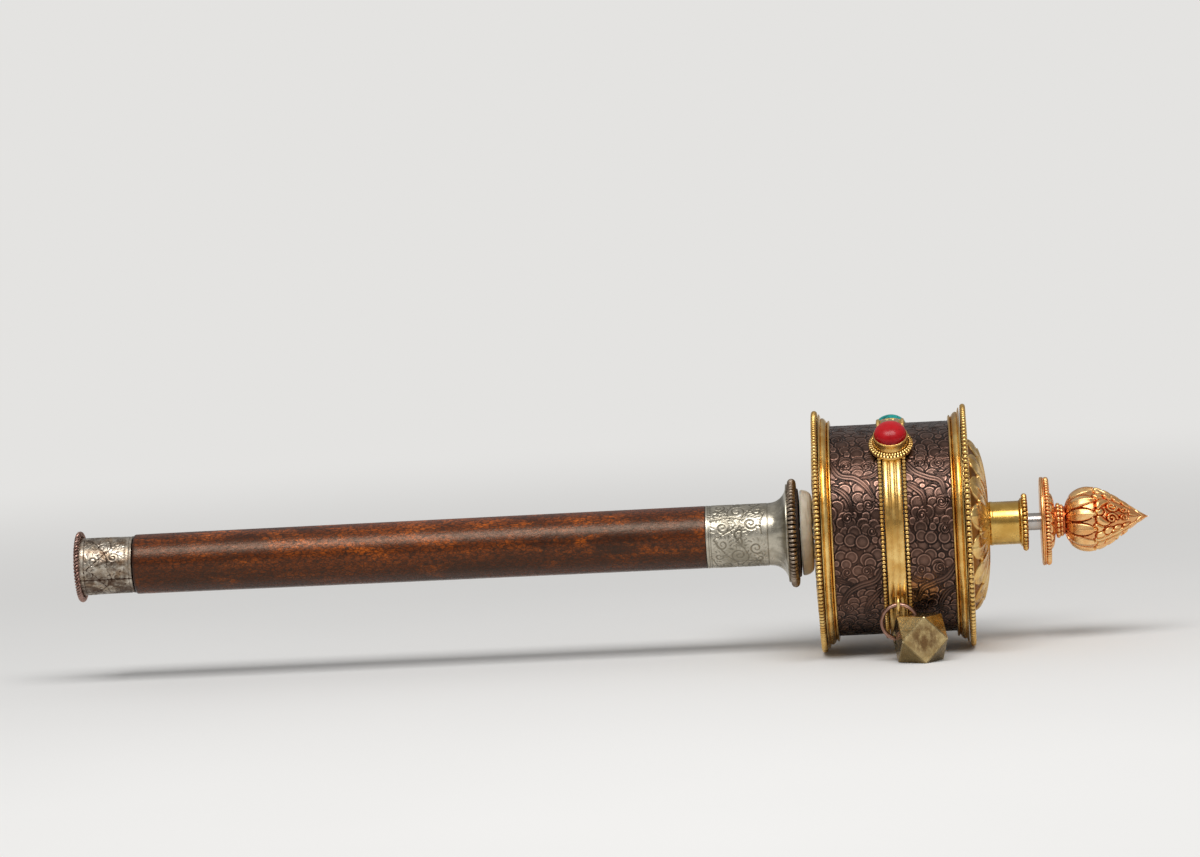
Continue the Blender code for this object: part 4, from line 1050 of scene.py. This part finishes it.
def bud_leaves(field):
    """Pointed leaves with bold curls and lobes between raised ribs, above the petals."""
    sector = field.around / BUD_LEAVES
    first = FIRST_RIB / TAU * field.around
    for index in range(BUD_LEAVES):
        foot = first + (index + 0.5) * sector

        def at(points):
            u, v = np.array(points, float).T
            return np.stack([foot + u * BUD_WIDEST / np.maximum(bud_radius(v), 2.0), v], -1)

        for hand in (-1, 1):
            for u, v, size in LEAF_LOBES:
                field.pebble(*at([(hand * u, v)])[0], size, 0.5, 0.32, 0.24)
            leaf = at(sweep((hand * 0.6, 9.0), (hand * 2.6, 9.6), (hand * 3.4, 11.2), (hand * 2.8, 12.4)))
            field.stem(leaf, 0.3 + 0.9 * np.sin(np.linspace(0, math.pi, len(leaf))), 0.5, 0.32, 0.24)
            field.stem(at(spiral(hand * 1.75, 12.9, 1.5, 0.25, QUARTER, 1.35, hand)), 0.5, 0.6, 0.34, 0.24)
            field.stem(at(spiral(hand * 1.2, 16.4, 0.95, 0.25, -QUARTER, 1.1, -hand)), 0.42, 0.55, 0.3, 0.22)
            side = at(sweep((hand * 5.6, 13.2), (hand * 4.4, 16.2), (hand * 2.2, 19.4), (0.0, 21.8)))
            field.stem(side, 0.6, 0.45, 0.3, 0.22)
        field.pebble(*at([(0.0, 18.8)])[0], 1.3, 0.5, 0.3, 0.24)
        rib = np.array([(first + index * sector, v) for v in np.arange(8.4, 22.8, 0.15)])
        field.stem(rib, np.linspace(0.8, 1.5, len(rib)), 0.62, 0.36, 0.26)
    for index in range(BUD_PETALS):
        field.pebble((index + 0.5) * field.around / BUD_PETALS, PETAL_LENGTH, 0.85, 0.5, 0.3, 0.22)


def build_bud():
    """A ring of petals, then leaves up to the point, bored from below for the axle."""
    start, end = span("finial_bud")
    columns = 420
    field = Chasing(TAU * BUD_WIDEST, end - start, columns, 168)
    bud_leaves(field)
    s = along(field.v, columns)
    t = s / PETAL_LENGTH
    across = np.abs(((around(columns) * BUD_PETALS / TAU) % 1) * 2 - 1)
    width = np.sqrt(np.clip(1 - ((t - 0.42) / 0.6) ** 2, 0.0004, 1))
    share = unit(across / width)
    petal = np.sqrt(unit(1 - share ** 2.2)) * unit(t * 5)
    rib = 0.14 * bell(across, 0.14) * unit(t * 2)
    lip = 0.2 * bell(share - 0.72, 0.14)
    petal_height = 1.45 * petal + (rib + lip) * petal - 1.05
    in_petals = (t < 1.02) & (share < 1)
    height = np.where(in_petals, petal_height, np.clip(field.height * 1.25, -0.6, 0.6))
    slim = np.clip(bud_radius(s) / 5.0, 0.12, 1)
    r = np.maximum(bud_radius(s) + (height - 0.5) * slim, 0.06)
    level = unit(np.where(in_petals, petal ** 1.5, 0.4 + field.height * 1.2))
    bore_end = start + 11.0
    x = stacked(columns, bore_end, start, start + s, end, bore_end)
    r = stacked(columns, BORE, BORE, r, CENTRE, CENTRE)
    level = stacked(columns, level[:1], level[:1], level, level[-1:], level[-1:])
    add_turned("bud_finial", x, r, *GILT_FINIAL, "finial_bud", level, 70.0)


# Outline of the keeper plate, up to its boss
KEEPER_EDGE = ((0, BORE), (0, 8.0), (0, 11.6), (0.12, 12.1), (0.4, 12.25), (0.62, 12.25), (0.72, 12.05),
               (0.85, 12.25), (1.05, 12.2), (1.12, 11.9), (1.12, 10.5), (1.5, 10.3), (1.9, 9.9), (2.3, 9.2),
               (2.6, 8.4), (2.7, 7.8))


def build_keeper():
    """Plate with a cut edge, a lobed boss and a beaded row, and the beaded collar above it."""
    start, end = span("finial_disc")
    columns = 300
    edge = [(start + station, radius) for station, radius in KEEPER_EDGE]
    hub = [(start + 2.7 + 1.2 * math.sin(a), 7.7 - 3.85 * (1 - math.cos(a)))
           for a in np.linspace(0, QUARTER, 12)]
    x, r = revolve([*edge, *hub, (end, BORE)], columns)
    boss = unit((x - start - 1.2) / 0.5) * unit((r - 4.2) / 1.5)
    lobes = np.abs(np.sin(around(columns) * 8))
    x = np.minimum(x - boss * 0.45 * (1 - lobes) ** 1.5, end)
    groove = np.where(np.abs(x - start - 0.72) < 0.06, 0.3, 1.0)
    level = unit(1 - boss * (1 - lobes) ** 1.2) * groove
    add_turned("keeper_disc", x, r, *GILT_FINIAL, "finial_disc", level, 50.0)
    add_beads("keeper_beads", "finial_disc_beads", -0.35, (11.42, 0.8, 72, 12, 10), GILT_FINIAL)

    start, end = span("finial_collar")
    core = rounded([(start - 0.4, BORE), (start - 0.4, 3.9), (end + 0.4, 3.9), (end + 0.4, BORE)], 0.2, 3)
    parts = [ring_grid(*revolve(core, 144))]
    levels = [np.full(len(parts[0][0]), 0.1)]
    for station, ring_radius, size in ((start + 0.62, 4.3, 0.62), (end - 0.5, 3.95, 0.5)):
        verts, faces, level = beaded_ring(station, ring_radius, size, 18, 10, 10)
        parts.append((verts, faces))
        levels.append(level.ravel())
    add_piece("collar_beads", *joined(parts), *GILT_FINIAL, "finial_collar", np.concatenate(levels))


build_bud()
build_keeper()


# Weight, its ring and eye, and the parts inside the drum

RING_WIRE = metal("ring_wire", (176, 138, 122), (128, 92, 78), (70, 46, 38), (0.26, 0.42), 240.0)
BUSH_BRASS = metal("bush_brass", (206, 166, 84), (176, 134, 62), (176, 134, 62), (0.24, 0.4))
COIL_RADIUS, EYE_RADIUS = 4.7, 2.06


def build_weight_ring():
    """Two coils of wire side by side, and the eye on the belt that they hang from."""
    jog, coil = 60.0, 300.0  # degrees
    travel = np.arange(0, 2 * coil + jog + 0.1, 3.0)
    share = unit((travel - coil) / jog)
    sideways = 1.35 * (share ** 2 * (3 - 2 * share) - 0.5)
    angle = np.radians(90 - coil / 2 + travel)
    coils = np.stack([COIL_RADIUS * np.cos(angle), sideways, COIL_RADIUS * np.sin(angle)], -1)
    wire = tube(middle("split_ring") + coils, 0.54, 14)
    add_piece("weight_ring_wire", *wire, RING_WIRE, "weight_ring", "copper_wire", "split_ring", at_axis=False)

    eye = middle("weight_lug")
    turn = TAU * np.arange(72) / 72
    ring = eye + np.stack([np.zeros(72), EYE_RADIUS * np.cos(turn), EYE_RADIUS * np.sin(turn)], -1)
    inward = np.array([0.0, -eye[1], AXIS - eye[2]])
    inward /= np.linalg.norm(inward)
    foot = eye + inward * 2.2
    solder = [foot + inward * depth for depth in np.linspace(-0.1, 0.75, 6)]
    parts = [tube(ring, 0.45, 12, closed=True), tube(solder, 0.62, 12)]
    add_piece("weight_eye", *joined(parts), *GILT_DRUM, "weight_lug", at_axis=False)


def build_inner_parts():
    """Bush in the neck, and materials for the nodes that keep their own shape."""
    start, end = span("upper_bush")
    bore, outer, flange = 2.62, 4.1, end - 1.25
    outline = [(start, bore), (start, outer), (flange, outer), (end - 1.2, 6.15), (end, 6.1), (end, bore)]
    add_turned("neck_bush", *revolve(rounded(outline, 0.2, 3), 96), *BRASS_DRUM, "upper_bush")
    stain = middle("weight") + np.array([1.4, -6.2, 0.4])
    for node, material in (("lower_bush", BUSH_BRASS), ("core_tube", BUSH_BRASS), ("scroll", make_paper()),
                           ("weight", make_aged_brass(stain / 1000))):
        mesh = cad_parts[node].data
        mesh.materials.clear()
        mesh.materials.append(material)


build_weight_ring()
build_inner_parts()


# Floor, light and camera

PALE = srgb(228, 227, 225)
FLOOR_REACH = 40.0


def build_floor():
    """Pale floor that keeps the shadow near the object and turns into an even background far behind it.

    It throws back less light than it shows, so that undersides stay dark.
    """
    mesh = bpy.data.meshes.new("floor")
    corners = [(FLOOR_REACH * x, FLOOR_REACH * y, 0) for x, y in ((-1, -1), (1, -1), (1, 1), (-1, 1))]
    mesh.from_pydata(corners, [], [(0, 1, 2, 3)])
    floor = add_object("floor", mesh)
    made = Finish("pale_floor", 0.7, 0.0)
    patches = made.ramp(made.noise(3.0, 3.0, 0.5), 0.3, 0.7)
    made.tone = made.mix(patches, srgb(234, 233, 231), srgb(238, 237, 235))
    seen = made.seen_rays()
    made.tone = made.mix(seen, srgb(132, 131, 129), made.tone)
    mesh.materials.append(made.finish())
    away = made.node("VectorMath", {0: made.place}, operation="LENGTH").outputs["Value"]
    far = made.times(made.ramp(away, 0.14, 0.75), seen)
    glow = made.node("Emission", {"Color": PALE}).outputs["Emission"]
    made.blend(far, made.shader.outputs["BSDF"], glow, "Material Output")


def build_light():
    """One soft box above the front, and a dim even surround with the pale background along its horizon."""
    lamp = bpy.data.lights.new("softbox", "AREA")
    lamp.shape = "RECTANGLE"
    lamp.size = 0.95
    lamp.size_y = 0.42
    lamp.energy = 8.0
    softbox = add_object("softbox", lamp)
    softbox.location = (0.05, -0.56, 0.88)
    aim = Vector((0.02, 0, 0.03)) - softbox.location
    softbox.rotation_euler = aim.to_track_quat("-Z", "Y").to_euler()

    world = bpy.data.worlds.new("studio")
    SCENE.world = world
    world.use_nodes = True
    sky = Graph(world.node_tree)
    height = sky.part(sky.node("TexCoord").outputs["Generated"], "Z")
    surround = sky.tree.nodes["Background"]
    surround.inputs["Color"].default_value = (1.0, 1.0, 1.0, 1.0)
    sky.link(sky.ramp(height, -0.05, 0.9, 0.22, 0.45), surround.inputs["Strength"])
    horizon = sky.node("Background", {"Color": PALE})
    near = sky.times(sky.ramp(height, 0.03, 0.1, 1.0, 0.0), sky.seen_rays())
    sky.blend(near, surround.outputs["Background"], horizon.outputs["Background"], "World Output")


def build_camera():
    """The photo's view through a long lens, rolled to give the handle its slope."""
    camera = add_object("camera", bpy.data.cameras.new("camera"))
    camera.data.lens = 150.0
    camera.data.sensor_width = 36.0
    camera.data.sensor_fit = "HORIZONTAL"
    target, distance = Vector((-0.0010, 0, 0.0653)), 1.3888
    yaw, elevation, roll = (math.radians(degrees) for degrees in (3.68, 4.5, -3.1))
    level = math.cos(elevation)
    forward = Vector((-math.sin(yaw) * level, math.cos(yaw) * level, -math.sin(elevation)))
    right = Vector((math.cos(yaw), math.sin(yaw), 0))
    right = math.cos(roll) * right + math.sin(roll) * right.cross(forward)
    turn = Matrix((right, right.cross(forward), -forward)).transposed()
    camera.matrix_world = Matrix.Translation(target - forward * distance) @ turn.to_4x4()
    SCENE.camera = camera


build_floor()
build_light()
build_camera()
SCENE.view_settings.view_transform = "Standard"
